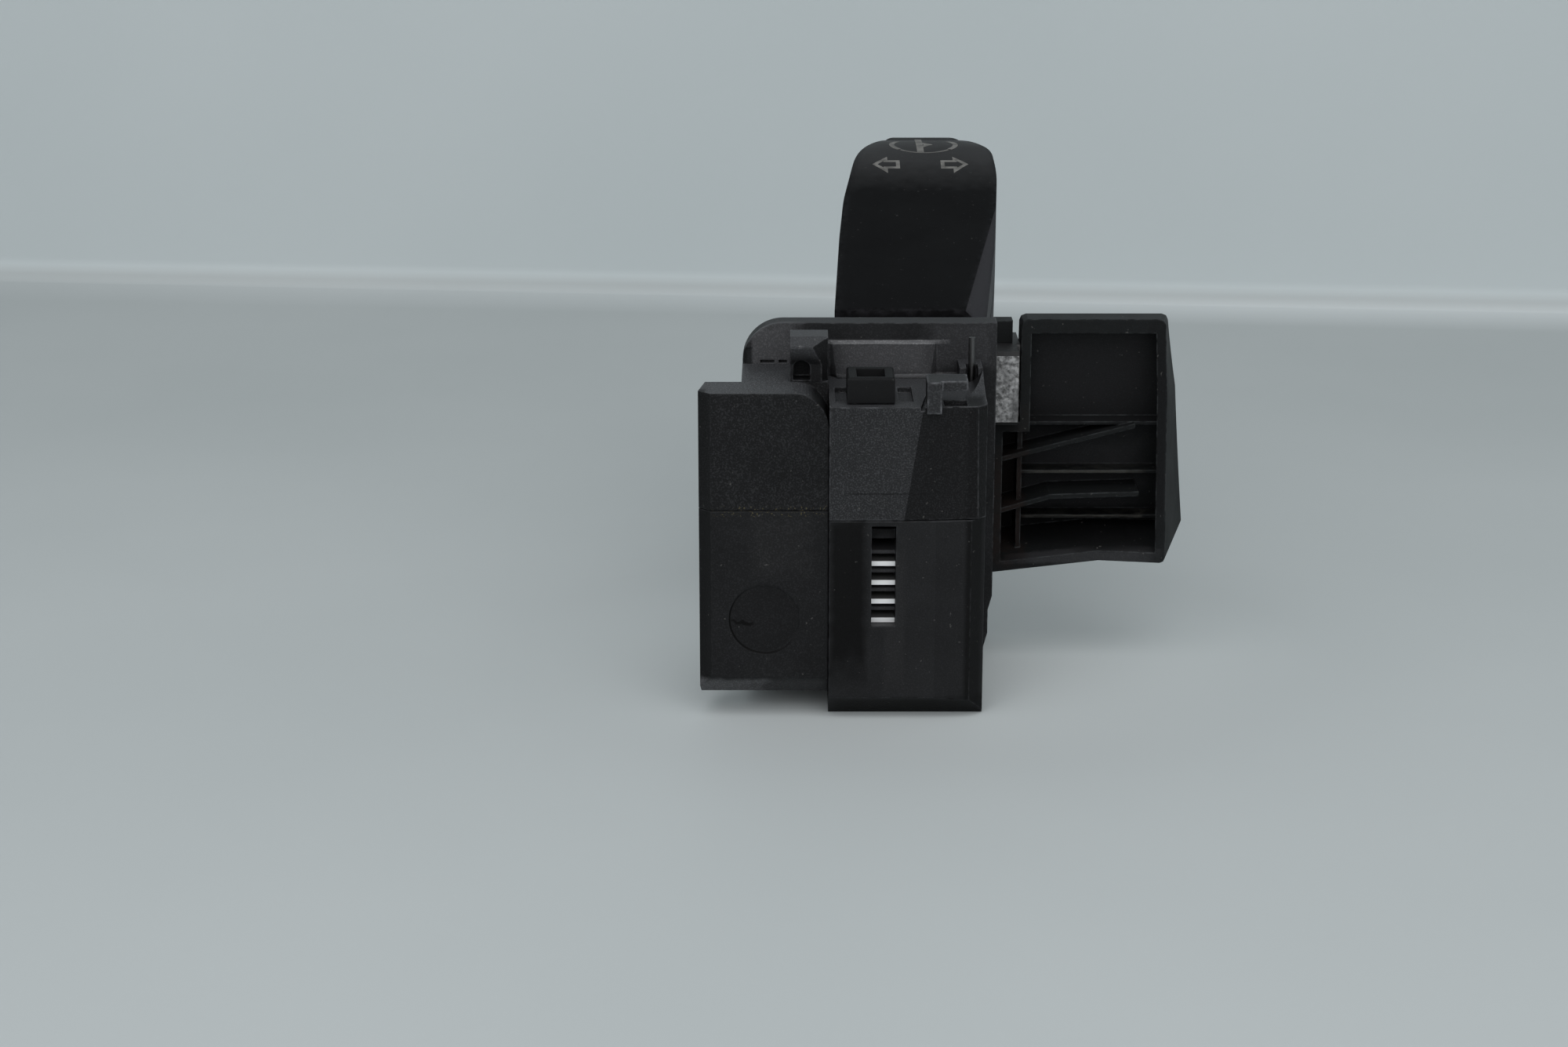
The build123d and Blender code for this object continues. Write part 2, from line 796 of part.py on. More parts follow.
def upper_swivel_pin():
    """Steel pin through the roof into the carrier's top bar."""
    return rod_z(0, 0, swivel_pin_radius, window_high + pin_top_gap, box_top)


def lower_swivel_pin():
    """Steel pin from the shelf into the carrier's bottom bar."""
    return rod_z(0, 0, swivel_pin_radius, shelf_top - shelf_thick, window_low - pin_depth)


def lever_tilt_pin():
    """Cross pin that the lever tips about."""
    return rod_x(0, pivot_z, tilt_pin_radius, -carrier_half, carrier_half)


def ramp():
    """The slope from the flange down to the deck, narrower towards the finger."""
    foot_y = flange_front - ramp_depth
    side = prism_x([(flange_front + over, right_top), (foot_y, right_top),
                    (flange_front - ramp_crown, ramp_top), (flange_front + over, ramp_top)],
                   ramp_left, ramp_right)
    plan = prism_z([(ramp_left, flange_front + over), (ramp_left, flange_front),
                    (ramp_left + ramp_narrow, foot_y), (ramp_right - ramp_narrow, foot_y),
                    (ramp_right, flange_front), (ramp_right, flange_front + over)], right_top, ramp_top)
    lip = block((ramp_left + ramp_narrow, ramp_right - ramp_narrow), (foot_y - ramp_lip, foot_y + join),
                (right_top, right_top + ramp_lip_height))
    return (side & plan) + lip


def waist():
    """What the flange and the box lose at the lower right."""
    steps = [(flange_right - drawn_in, z) for z, drawn_in in waist_steps]
    foot = flange_right - waist_steps[-1][1]
    points = steps + [(foot, -1), (flange_right + over, -1), (flange_right + over, waist_steps[0][0])]
    return prism_y(points, flange_front - over, box_rear + over)


def rear_housing():
    """Flange and rear box in one moulding, with the ramp recess and the lever's mouth."""
    plate = prism_y([(flange_left, 0), (flange_right, 0), (flange_right, flange_top),
                     (flange_left, flange_top)], flange_front, flange_rear)
    uprights = plate.edges().filter_by(Axis.Y).sort_by(Axis.Z)
    plate = fillet(uprights[-2:].sort_by(Axis.X)[0], flange_corner)
    box = block((box_left, flange_right), (flange_rear - over, box_rear), (0, box_top))
    box = fillet(box.edges().filter_by(Axis.Z).sort_by(Axis.Y)[-2:], box_edge)
    box = fillet(box.faces().sort_by(Axis.Z)[-1].edges().sort_by(Axis.Y)[-1], box_edge / 2)
    body = plate + box
    body -= block((box_left + box_wall, flange_right - box_wall), (flange_rear, box_inner_rear),
                  (roof_wall, roof_under))
    body += block((shelf_left, flange_right - box_wall / 2), (shelf_front, box_rear - box_wall / 2),
                  (shelf_top - shelf_thick, shelf_top))
    body -= block((right_inner_left, right_inner_right), (flange_front - over, flange_rear + over),
                  (floor_wall, deck_under))
    body += ramp()
    body -= waist()
    body -= prism_z([(flange_left - over, flange_front - over),
                     (flange_left + flange_edge + over, flange_front - over),
                     (flange_left - over, flange_front + flange_edge + over)], -1, flange_edge_top)
    for low, high in slot_spans:
        body -= block((low, high), (flange_front - over, flange_front + slot_depth),
                      (slot_z, slot_z + slot_height))
    body -= block((-mouth_half, mouth_half), (box_inner_rear - over, box_rear + over),
                  (mouth_low, mouth_high))
    body -= rod_z(0, 0, swivel_pin_radius + press_gap, roof_under - over, box_top + over)
    body -= rod_z(0, 0, swivel_pin_radius + press_gap, shelf_top - shelf_thick - over, shelf_top + over)
    for z in (screw_low, screw_high):
        body -= rod_y(screw_x, z, screw_radius + screw_hole_gap, flange_front - over, flange_rear + over)
    return body


def housing_screws():
    """The two screws that pull the left covers against the flange."""
    screws = []
    for z in (screw_low, screw_high):
        head_end = flange_rear + screw_head_height
        screw = rod_y(screw_x, z, screw_head_radius, flange_rear, head_end)
        screw += rod_y(screw_x, z, screw_radius, flange_rear - screw_length, flange_rear + join)
        screw -= Pos(screw_x, head_end - screw_drive_depth / 2, z) * Rot(90, 0, 0) * extrude(
            RegularPolygon(screw_drive, 6), amount=screw_drive_depth, both=True)
        screws.append(screw)
    return screws


def latch_hook():
    """The sprung hook that holds the switch in its carrier."""
    rear = front_y + hook_front + hook_thick
    face = front_y + hook_front
    nose = face - hook_nose
    shoulder = hook_top - hook_head
    points = [(face, left_top), (rear, left_top), (rear, hook_top), (face + hook_crown, hook_top),
              (nose, shoulder + hook_lip), (nose, shoulder), (face, shoulder - hook_web)]
    right = hook_left + hook_width
    body = prism_x(points, hook_left, right)
    body -= prism_z([(hook_left + hook_flat, nose), (hook_left + hook_flat, nose - over),
                     (right + over, nose - over), (right + over, nose + hook_skew)],
                    left_top - over, hook_top + over)
    pocket_radius = hook_pocket_width / 2
    pocket_x = hook_left + hook_pocket_left + pocket_radius
    pocket_low = left_top + hook_pocket_low
    arch_z = pocket_low + hook_pocket_height - pocket_radius
    pocket_rear = face + hook_pocket_depth
    pocket = block((pocket_x - pocket_radius, pocket_x + pocket_radius), (face - over, pocket_rear),
                   (pocket_low, arch_z))
    pocket += rod_y(pocket_x, arch_z, pocket_radius, face - over, pocket_rear)
    return body - pocket


def guide_rail():
    """The bent rail on the deck, with a lip over the plug face."""
    left = rail_left
    post_right = rail_left + rail_post
    points = [(left, right_top), (post_right, right_top), (post_right, rail_top - rail_arm),
              (left + rail_reach, rail_top - rail_arm), (left + rail_reach, rail_top), (left, rail_top)]
    body = prism_y(points, right_front, front_y + rail_depth)
    return body + block((left, post_right), (right_front - rail_lip, right_front),
                        (right_top - rail_lip_drop, rail_top))


def cancel_finger():
    """The sprung block that the steering hub pushes back to cancel the signal."""
    y_low = front_y + finger_front
    body = block((finger_left, finger_right), (y_low, y_low + finger_depth),
                 (right_top + finger_lift, finger_top))
    body = chamfer(body.faces().sort_by(Axis.Z)[-1].edges(), finger_edge)
    margin = finger_window_margin
    body -= block((finger_left + margin, finger_right - margin),
                  (y_low + finger_window_front, y_low + finger_depth - margin),
                  (finger_top - finger_window_depth, finger_top + over))
    return body + block((finger_middle - foot_half, finger_middle + foot_half),
                        (foot_rear - foot_half * 2, foot_rear), (foot_low, right_top + over))


def cancel_spring():
    """Coil between the finger's foot and the stop under the deck."""
    return coil(finger_middle, foot_rear, return_spring_z, return_spring_radius, spring_wire,
                return_spring_pitch, return_spring_length)


def pawl_pin():
    """Small steel pin standing in the cheek."""
    return rod_z(pawl_pin_x, front_y + pawl_pin_y, pawl_pin_radius, deck_under + pawl_pin_foot,
                 pawl_pin_top)


def lever_side(inset):
    """The lever's outline seen from the side, drawn in by an inset."""
    bend = (lever_bend, lever_bend_top)
    crest = (lever_crest, lever_crest_top)
    low = (lever_crest, lever_tip_low)
    edge = Line((lever_root, lever_top_root), bend)
    edge += TangentArc(bend, crest, tangent=(1, lever_slope))
    edge += ThreePointArc(crest, (lever_tip, lever_tip_z), low)
    edge += Polyline(low, (lever_root, lever_low_root), (lever_root, lever_top_root))
    face = make_face(edge)
    return offset(face, amount=-inset) if inset else face


def lever_plan(inset):
    """The lever's outline seen from above, drawn in by an inset."""
    bends = lever_left_side + (lever_nose,) + lever_right_side
    points = [(x, y) for x, y, _ in bends]
    points = [(lever_left_root, lever_root)] + points + [(lever_right_root, lever_root)]
    face = outline(points)
    for x, y, radius in bends:
        face = fillet(face.vertices().sort_by_distance((x, y, 0))[0], radius)
    return offset(face, amount=-inset) if inset else face


def lever_form(inset):
    """The lever as a closed body: what its side view and its plan have in common."""
    side = extrude(Plane.YZ.offset(-lever_far) * lever_side(inset), amount=2 * lever_far)
    plan = extrude(lever_plan(inset), amount=lever_high)
    return side & plan


def side_bevel():
    """The flat that widens towards the root along the lever's right edge."""
    root_z = lever_top_root - over * lever_slope
    end_z = lever_top_root + (bevel_end - lever_root) * lever_slope
    inner = lever_right_root - bevel_width
    out = lever_widest + bevel_reach
    low = outline([(inner, root_z), (out, root_z - (out - inner)), (out, root_z + bevel_reach),
                   (inner, root_z + bevel_reach)])
    high = outline([(lever_widest, end_z), (out, end_z - bevel_reach), (out, end_z + bevel_reach),
                    (lever_widest, end_z + bevel_reach)])
    start = Plane.XZ.offset(-(lever_root - over)) * low
    end = Plane.XZ.offset(-bevel_end) * high
    return loft([start, end])


def tongue(clearance):
    """The bar that runs from the eye through the mouth into the lever's root."""
    half = window_half - side_gap + clearance
    height = tongue_half_height + clearance
    end = core_start + core_join
    rise = end * tongue_slope
    points = [(0, pivot_z - height), (end, pivot_z + rise - height),
              (end, pivot_z + rise + height), (0, pivot_z + height)]
    return prism_x(points, -half, half)


def above_parting(shift, top):
    """Everything above the lever's parting line, or below it."""
    start = lever_root - over
    end = lever_tip + over
    z_start = lever_parting_root - over * lever_parting_slope + shift
    z_end = z_start + (end - start) * lever_parting_slope
    limit = lever_high if top else 0
    return prism_x([(start, z_start), (end, z_end), (end, limit), (start, limit)],
                   -lever_far, lever_far)


def lever_shell(top):
    """One half of the lever's hollow shell."""
    outer = lever_form(0) - side_bevel()
    body = outer - lever_form(lever_wall) - tongue(core_fit)
    shift = lever_seam / 2 if top else -lever_seam / 2
    return body & above_parting(shift, top)


def lever_shell_upper():
    """Upper half, which carries the signs."""
    return lever_shell(True)


def lever_shell_lower():
    """Lower half."""
    return lever_shell(False)


def lever_core():
    """Eye, tail, tongue and the ribbed bar that stiffens the lever."""
    half = window_half - side_gap
    body = rod_x(0, pivot_z, eye_radius, -half, half) + tongue(0)
    body += block((-tail_half, tail_half), (-tail_reach + tail_tip_length, join),
                  (pivot_z - tail_half_height, pivot_z + tail_half_height))
    body += block((-tail_half, tail_half), (-tail_reach, 0),
                  (pivot_z - tail_tip_half_height, pivot_z + tail_tip_half_height))
    reach = block((-lever_far, lever_far), (core_start, core_end), (0, lever_high))
    spine = lever_form(lever_wall + core_fit) & reach
    spine -= side_bevel()
    middle = (lever_left_side[0][0] + lever_right_side[-1][0]) / 2
    pocket_y = core_start + rib_thick + core_first
    while pocket_y + rib_pitch <= core_end:
        for side in (-1, 1):
            near = middle + side * core_web
            far = middle + side * lever_far
            spine -= block((min(near, far), max(near, far)),
                           (pocket_y, pocket_y + rib_pitch - rib_thick), (0, lever_high))
        pocket_y += rib_pitch
    body += spine
    return body - rod_x(0, pivot_z, tilt_pin_radius + running_fit, -half - over, half + over)


def shroud_bracket():
    """The grey bracket that joins the shroud to the rear housing."""
    rear = bracket_front + bracket_depth
    body = block((flange_right, bracket_right), (bracket_front, rear), (bracket_low, bracket_top))
    body = chamfer(body.faces().sort_by(Axis.Y)[0].edges().filter_by(Axis.X), bracket_edge)
    return body + block((bracket_right - join, shroud_left), (bracket_front + bracket_shoulder, rear),
                        (bracket_low, bracket_top))


def shroud_clip():
    """The clip on top of the bracket."""
    left = flange_right + clip_left_gap
    return block((left, left + clip_width), (clip_front, clip_front + clip_depth),
                 (bracket_top, bracket_top + clip_height))


def rounded(x, z, start, end):
    """Three points of a small rounded corner, from the offsets of its start and its end."""
    share = 1 - math.sqrt(0.5)
    middle = (x + share * (start[0] + end[0]), z + share * (start[1] + end[1]))
    return [(x + start[0], z + start[1]), middle, (x + end[0], z + end[1])]


def shroud_outline(share, sharp):
    """The shroud's outline in X and Z, from its front rim (share 0) to its full depth (share 1)."""
    top = shroud_top - share * shroud_drop
    low = share * shroud_rise
    top_right = shroud_right + share * shroud_flare_top
    bend_x = shroud_right + shroud_bend_share * shroud_lean + share * shroud_flare_bend
    foot = shroud_right + shroud_lean + share * shroud_flare
    if sharp:
        upper = [(shroud_left, top), (top_right, top)]
        lower = [(foot, shroud_low + low)]
    else:
        upper = rounded(shroud_left, top, (0, -shroud_corner), (shroud_corner, 0))
        upper += rounded(top_right, top, (-shroud_corner, 0), (0, -shroud_corner))
        lower = rounded(foot, shroud_low + low, (0, shroud_low_corner), (-shroud_low_corner, 0))
    return upper + [(bend_x, shroud_bend)] + lower + [
        (shroud_arch_x, shroud_arch + low),
        (shroud_heel, shroud_low_left + low),
        (shroud_heel, bracket_low - shroud_notch_gap),
        (shroud_left, bracket_low - shroud_notch_gap),
    ]


def inset_outline(share):
    """The sharp outline drawn in by the walls, thicker at the top."""
    points = shroud_outline(share, True)
    face = offset(outline(points), amount=-shroud_wall, kind=Kind.INTERSECTION)
    limit = max(z for _, z in points) - shroud_top_wall
    below = Pos(0, limit / 2) * Rectangle(4 * shroud_right, limit)
    return face & below


def shroud_wedge(inset):
    """Everything in front of the shroud's slanted back, moved forward by an inset."""
    front = shroud_front - over
    rear_low = shroud_front + shroud_depth - inset
    rear_high = shroud_front + shroud_top_depth - inset
    points = [(front, 0), (rear_low, 0), (rear_low, shroud_low + shroud_rise),
              (rear_high, shroud_top), (rear_high, shroud_top + over), (front, shroud_top + over)]
    return prism_x(points, 0, 2 * shroud_right)


def shroud_web(line):
    """A thin web that follows a line in X and Z."""
    under = [(x, z - web_thick) for x, z in reversed(line)]
    return prism_y(list(line) + under, shroud_front + web_setback, shroud_front + shroud_depth)


def shroud_shell():
    """The hollow cover beside the lever: skin, walls, low ribs and slanted webs."""
    rear = shroud_front + shroud_depth
    front_face = Plane.XZ.offset(-shroud_front) * outline(shroud_outline(0, False))
    rear_face = Plane.XZ.offset(-rear) * outline(shroud_outline(1, False))
    form = loft([front_face, rear_face], ruled=True) & shroud_wedge(0)
    inner_front = Plane.XZ.offset(-shroud_front + front_spare) * inset_outline(0)
    inner_rear = Plane.XZ.offset(-rear) * inset_outline(1)
    body = form - (loft([inner_front, inner_rear], ruled=True) & shroud_wedge(shroud_wall))
    inside = form - shroud_wedge(shroud_wall + shroud_rib_height)
    for z in rib_heights:
        rib = block((shroud_left + shroud_wall / 2, 2 * shroud_right), (shroud_front, rear),
                    (z - shroud_rib, z))
        body += rib & inside
    for line in web_lines:
        body += shroud_web(line) & form
    post = block((shroud_left, shroud_left + web_thick), (shroud_front + post_setback, rear),
                 (0, bracket_low))
    return body + (post & form)


NODES = {
    "rear_housing": rear_housing,
    "left_cover_upper": left_cover_upper,
    "left_cover_lower": left_cover_lower,
    "contact_cover": contact_cover,
    "terminal_housing": terminal_housing,
    "terminal_blades": terminal_blades,
    "circuit_board": circuit_board,
    "fixed_contacts": fixed_contacts,
    "beam_plate": beam_plate,
    "beam_contacts": beam_contacts,
    "detent_track": detent_track,
    "upper_swivel_pin": upper_swivel_pin,
    "lower_swivel_pin": lower_swivel_pin,
    "housing_screws": housing_screws,
    "latch_hook": latch_hook,
    "guide_rail": guide_rail,
    "pawl_pin": pawl_pin,
    "cancel_finger": cancel_finger,
    "cancel_spring": cancel_spring,
    "turn_carrier": turn_carrier,
    "detent_plunger": detent_plunger,
    "detent_spring": detent_spring,
    "lever_tilt_pin": lever_tilt_pin,
    "turn_contact_slider": turn_contact_slider,
    "turn_wipers": turn_wipers,
    "beam_contact_slider": beam_contact_slider,
    "beam_wipers": beam_wipers,
    "lever_core": lever_core,
    "lever_shell_upper": lever_shell_upper,
    "lever_shell_lower": lever_shell_lower,
    "shroud_bracket": shroud_bracket,
    "shroud_clip": shroud_clip,
    "shroud_shell": shroud_shell,
}

os.makedirs("parts", exist_ok=True)
for name, make in NODES.items():
    shape = make()
    if isinstance(shape, list):
        shape = Compound(children=shape)
    export_step(shape, f"parts/{name}.step")
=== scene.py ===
"""Combination stalk switch: finishes, lever signs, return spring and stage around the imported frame."""
import json
import math
from collections import namedtuple

import bmesh
import bpy
import numpy as np
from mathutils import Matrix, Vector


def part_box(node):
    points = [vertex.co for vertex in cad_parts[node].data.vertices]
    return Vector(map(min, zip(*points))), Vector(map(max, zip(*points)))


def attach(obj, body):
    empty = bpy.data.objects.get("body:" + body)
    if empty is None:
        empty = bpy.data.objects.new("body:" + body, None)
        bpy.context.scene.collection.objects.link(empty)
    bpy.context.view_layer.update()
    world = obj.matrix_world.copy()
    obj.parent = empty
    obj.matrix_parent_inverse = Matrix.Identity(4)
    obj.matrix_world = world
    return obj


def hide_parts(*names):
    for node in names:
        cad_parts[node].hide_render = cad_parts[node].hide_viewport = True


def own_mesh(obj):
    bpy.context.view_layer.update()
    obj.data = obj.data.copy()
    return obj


MM = 0.001

# --- view ---------------------------------------------------------------------------------
CAMERA_PLACE = np.array([-18.0, -403.0, 134.5]) * MM
CAMERA_PITCH = math.radians(16.0)      # looks down by this much
CAMERA_LENS = 68.4
CAMERA_NEAR = 0.01                     # nothing nearer than this is drawn, in metres
SENSOR_WIDTH = 36.0

# --- stage and light, in metres -----------------------------------------------------------
WALL_Y = 0.251
WALL_TURN = -0.100                     # the wall comes this much nearer for each metre along X
STAGE_HALF = 1.6
COVE_RADIUS = 0.005
COVE_POINTS = 12
FLOOR_BACK = (0.400, 0.430, 0.432)
FLOOR_FRONT = (0.520, 0.552, 0.555)
FLOOR_BLEND = (0.13, -0.24)            # Y where the floor has its back tone, and its front tone: painted light, paler towards the front
FLOOR_PAINTED_LIGHT = (0.62, 0.66, 0.66)       # painted light that lifts the shade close round the object
PAINTED_LIGHT_REACH = (0.062, 0.050, 1.0)      # how far that painted light reaches each way
WALL_COLOUR = (0.505, 0.552, 0.560)
WALL_TO_FLOOR = (0.3, 0.7)             # how far a face looks up: wall tone, floor tone; painted light and shade on the one board
# painted highlight: a light band on the floor where it bends up into the wall
SEAM_HIGHLIGHT = (0.80, 0.84, 0.85)
SEAM_RISE = (0.024, 0.005)             # before the wall: the painted highlight starts, and is full
SEAM_FALL = (0.001, 0.004)             # before the wall: it has ended, and is still full
SEAM_SPAN = (-0.20, 0.08)              # X where the band is faint, and strong
SEAM_COVER = (0.10, 0.42)              # how far it covers the floor's tone there
BOARD_CLOUD_SCALE = 9.0
BOARD_CLOUD = 0.05                     # how much paler the board's clouds are
LAMP_PLACE = (0.0, -0.82, 0.86)
LAMP_SIZE = 1.7
LAMP_POWER = 11.5
ROOM_COLOUR = (0.92, 0.96, 1.0)
ROOM_STRENGTH = 0.52

# --- signs on the lever, in millimetres ---------------------------------------------------
SIGN_LIFT = 0.03                       # the ink stands this far above and below the surface
SIGN_STEP = 0.35                       # about this far between the points of a straight run
STROKE = 0.6
ARROW_Y = 53.5
ARROW_TIPS = ((-4.0, -1.0), (10.0, 1.0))   # each arrow's tip in X, and which way it points
ARROW_HEAD = 1.65
ARROW_LENGTH = 3.55
ARROW_HEAD_HALF = 2.0
ARROW_TAIL_HALF = 1.1
RING_PLACE = (3.9, 63.2)
RING_RADIUS = 5.0
RING_POINTS = 28                       # on each arc
RING_SIDE = math.radians(38.0)         # half of each bright side arc
RING_SIDE_WIDTH = STROKE * 1.3
RING_FOOT = math.radians(48.0)         # half of the faint arc nearest the root
RING_FOOT_WIDTH = STROKE * 0.5
BAR_X = 3.25
BAR_SPAN = (58.4, 68.8)
BAR_WIDTH = 1.05
WEDGE_SPAN = (3.5, 5.3)
WEDGE_WIDTHS = (4.2, 0.1)              # beside the bar, and at its tip
WEDGE_STEP = 0.2
CREST_STEEPEST = 1.5                   # steepest of the lines laid on the lever's outline
CREST_SLOPES = 3001
CREST_POINTS = 600

# --- spring behind the cancelling finger, in millimetres ----------------------------------
SPRING_WIRE = 0.24                     # radius of the wire
SPRING_PITCH = 1.6
SPRING_SLACK = 0.02                    # kept inside the solid spring by this much
SPRING_STEPS = 140                     # rings of points along the wire
SPRING_SIDES = 8                       # points in each ring
SPRING_END = np.array([[0, 1, 2, 3], [0, 3, 4, 7], [4, 5, 6, 7]])   # quads that close an end ring


# --- places, in millimetres ---------------------------------------------------------------
Box = namedtuple("Box", "left front bottom right back top")
Patch = namedtuple("Patch", "centre half colour cover ragged")


def box_of(node):
    """The six sides of a node's box at rest."""
    return Box(*(np.array(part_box(node)) / MM).ravel())


def in_metres(*place):
    """A place or size in millimetres, in metres."""
    return tuple(value * MM for value in place)


# --- mesh helpers -------------------------------------------------------------------------
def new_mesh(name, points, faces, smooth=True):
    """A mesh object from arrays of points and faces, at the origin."""
    mesh = bpy.data.meshes.new(name)
    mesh.from_pydata(np.asarray(points, float).tolist(), [], np.asarray(faces, int).tolist())
    mesh.polygons.foreach_set("use_smooth", [smooth] * len(mesh.polygons))
    mesh.update()
    made = bpy.data.objects.new(name, mesh)
    bpy.context.scene.collection.objects.link(made)
    return made


def grid_faces(rows, columns, wrap_rows=False, wrap_columns=False):
    """Quads joining each grid point to its neighbours, closed round where asked."""
    index = np.arange(rows * columns).reshape(rows, columns)
    if wrap_rows:
        index = np.concatenate([index, index[:1]])
    if wrap_columns:
        index = np.concatenate([index, index[:, :1]], axis=1)
    corners = [index[:-1, :-1], index[:-1, 1:], index[1:, 1:], index[1:, :-1]]
    return np.stack(corners, axis=-1).reshape(-1, 4)


def point_outwards(made):
    """Turns every face of a closed mesh outwards."""
    work = bmesh.new()
    work.from_mesh(made.data)
    bmesh.ops.recalc_face_normals(work, faces=work.faces)
    work.to_mesh(made.data)
    work.free()


def crest_line(node):
    """Height of a node's upper outline along Y.

    For every slope m the line z = m y + max(z_i - m y_i) touches the node from above;
    the outline at y is the lowest of those lines.
    """
    mesh = frame["nodes"][node].data
    flat = np.empty(len(mesh.vertices) * 3)
    mesh.vertices.foreach_get("co", flat)
    y, z = np.unique(np.round(flat.reshape(-1, 3)[:, 1:], 6), axis=0).T
    slope = np.linspace(-CREST_STEEPEST, CREST_STEEPEST, CREST_SLOPES)
    reach = (z[:, None] - y[:, None] * slope).max(axis=0)
    along = np.linspace(y.min(), y.max(), CREST_POINTS)
    return along, (along[:, None] * slope + reach).min(axis=1)


# --- signs --------------------------------------------------------------------------------
def stroke(name, path, width, closed=False):
    """A thin printed line: a path in X and Y, widened by mitred normals and laid on the lever's crest line.

    Each path point becomes a cross-section of four corners, left and right of the path,
    just above and just below the lever's surface.
    """
    path = np.asarray(path, float)
    ahead = np.roll(path, -1, axis=0) - path
    behind = np.roll(ahead, 1, axis=0)
    if not closed:
        ahead[-1], behind[0] = behind[-1], ahead[0]
    ahead /= np.linalg.norm(ahead, axis=1)[:, None]
    behind /= np.linalg.norm(behind, axis=1)[:, None]
    across = np.stack([-(ahead + behind)[:, 1], (ahead + behind)[:, 0]], axis=1)
    across /= (1 + (ahead * behind).sum(axis=1))[:, None]
    half = np.broadcast_to(width, len(path))[:, None] / 2
    sides = np.stack([path + across * half, path - across * half], axis=1) * MM
    height = np.interp(sides[..., 1], *CREST)
    top = np.dstack([sides, height + SIGN_LIFT * MM])
    low = np.dstack([sides, height - SIGN_LIFT * MM])
    section = np.stack([top[:, 0], top[:, 1], low[:, 1], low[:, 0]], axis=1)
    faces = grid_faces(len(path), 4, wrap_rows=closed, wrap_columns=True)
    if not closed:
        last = 4 * (len(path) - 1)
        faces = np.concatenate([faces, [[3, 2, 1, 0], [last, last + 1, last + 2, last + 3]]])
    made = new_mesh(name, section.reshape(-1, 3), faces, smooth=False)
    point_outwards(made)
    made.data.materials.append(FINISHES["sign_ink"])
    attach(made, "lever")


def resample(corners, closed, step=SIGN_STEP):
    """Points along straight runs between corners, about one step apart."""
    corners = np.asarray(corners, float)
    ends = np.roll(corners, -1, axis=0) if closed else corners[1:]
    runs = [np.linspace(a, b, max(2, int(np.hypot(*(b - a)) / step) + 1))[:-1]
            for a, b in zip(corners, ends)]
    if not closed:
        runs.append(corners[-1:])
    return np.concatenate(runs)


def arrow(name, tip_x, way):
    """A block arrow's outline: head and tail, mirrored by the way it points."""
    neck = tip_x - way * ARROW_HEAD
    tail = tip_x - way * ARROW_LENGTH
    corners = [(tip_x, ARROW_Y), (neck, ARROW_Y + ARROW_HEAD_HALF), (neck, ARROW_Y + ARROW_TAIL_HALF),
               (tail, ARROW_Y + ARROW_TAIL_HALF), (tail, ARROW_Y - ARROW_TAIL_HALF),
               (neck, ARROW_Y - ARROW_TAIL_HALF), (neck, ARROW_Y - ARROW_HEAD_HALF)]
    stroke(name, resample(corners, True), STROKE, closed=True)


def ring_arc(name, middle, half, width):
    """Part of the ring: a circle's points between two angles."""
    turn = np.linspace(middle - half, middle + half, RING_POINTS)
    centre = np.array(RING_PLACE)
    stroke(name, centre + RING_RADIUS * np.stack([np.cos(turn), np.sin(turn)], axis=1), width)


def lever_signs():
    """Two arrows, a broken ring and the bar with its wedge."""
    for side, (tip_x, way) in zip(("left", "right"), ARROW_TIPS):
        arrow(f"sign_arrow_{side}", tip_x, way)
    ring_arc("sign_ring_right", 0.0, RING_SIDE, RING_SIDE_WIDTH)
    ring_arc("sign_ring_left", math.pi, RING_SIDE, RING_SIDE_WIDTH)
    ring_arc("sign_ring_foot", -math.pi / 2, RING_FOOT, RING_FOOT_WIDTH)
    stroke("sign_bar", resample([(BAR_X, BAR_SPAN[0]), (BAR_X, BAR_SPAN[1])], False), BAR_WIDTH)
    wedge = resample([(WEDGE_SPAN[0], RING_PLACE[1]), (WEDGE_SPAN[1], RING_PLACE[1])], False, WEDGE_STEP)
    stroke("sign_wedge", wedge, np.linspace(*WEDGE_WIDTHS, len(wedge)))


# --- spring -------------------------------------------------------------------------------
def return_spring():
    """Coil behind the cancelling finger, made at rest; the real one shortens as the finger is pressed.

    The wire's middle runs round a helix, centre + R (cos t, 0, sin t) + (0, pitch t / 2 pi, 0), and the
    surface stands off it by w (cos s outwards + sin s along the binormal).
    """
    low, high = np.array(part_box("cancel_spring")) / MM
    centre = (low + high) / 2
    inset = SPRING_WIRE + SPRING_SLACK
    radius = (high - low)[0] / 2 - inset
    start, end = low[1] + inset, high[1] - inset
    rise = SPRING_PITCH / (2 * math.pi)
    t = np.linspace(0, (end - start) / rise, SPRING_STEPS)[:, None, None]
    s = np.linspace(0, 2 * math.pi, SPRING_SIDES, endpoint=False)[None, :, None]
    outward = np.concatenate([np.cos(t), 0 * t, np.sin(t)], axis=2)
    ahead = np.concatenate([-radius * np.sin(t), rise + 0 * t, radius * np.cos(t)], axis=2)
    binormal = np.cross(ahead / np.linalg.norm(ahead, axis=2, keepdims=True), outward)
    middle = np.array([centre[0], start, centre[2]]) + radius * outward
    middle = middle + rise * t * np.array([0.0, 1.0, 0.0])
    points = middle + SPRING_WIRE * (np.cos(s) * outward + np.sin(s) * binormal)
    last_ring = (SPRING_STEPS - 1) * SPRING_SIDES
    tube = grid_faces(SPRING_STEPS, SPRING_SIDES, wrap_columns=True)
    faces = np.concatenate([tube, SPRING_END, SPRING_END + last_ring])
    made = new_mesh("return_spring", points.reshape(-1, 3) * MM, faces)
    point_outwards(made)
    made.data.materials.append(FINISHES["steel"])
    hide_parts("cancel_spring")
    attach(made, "housing")
    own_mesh(made)


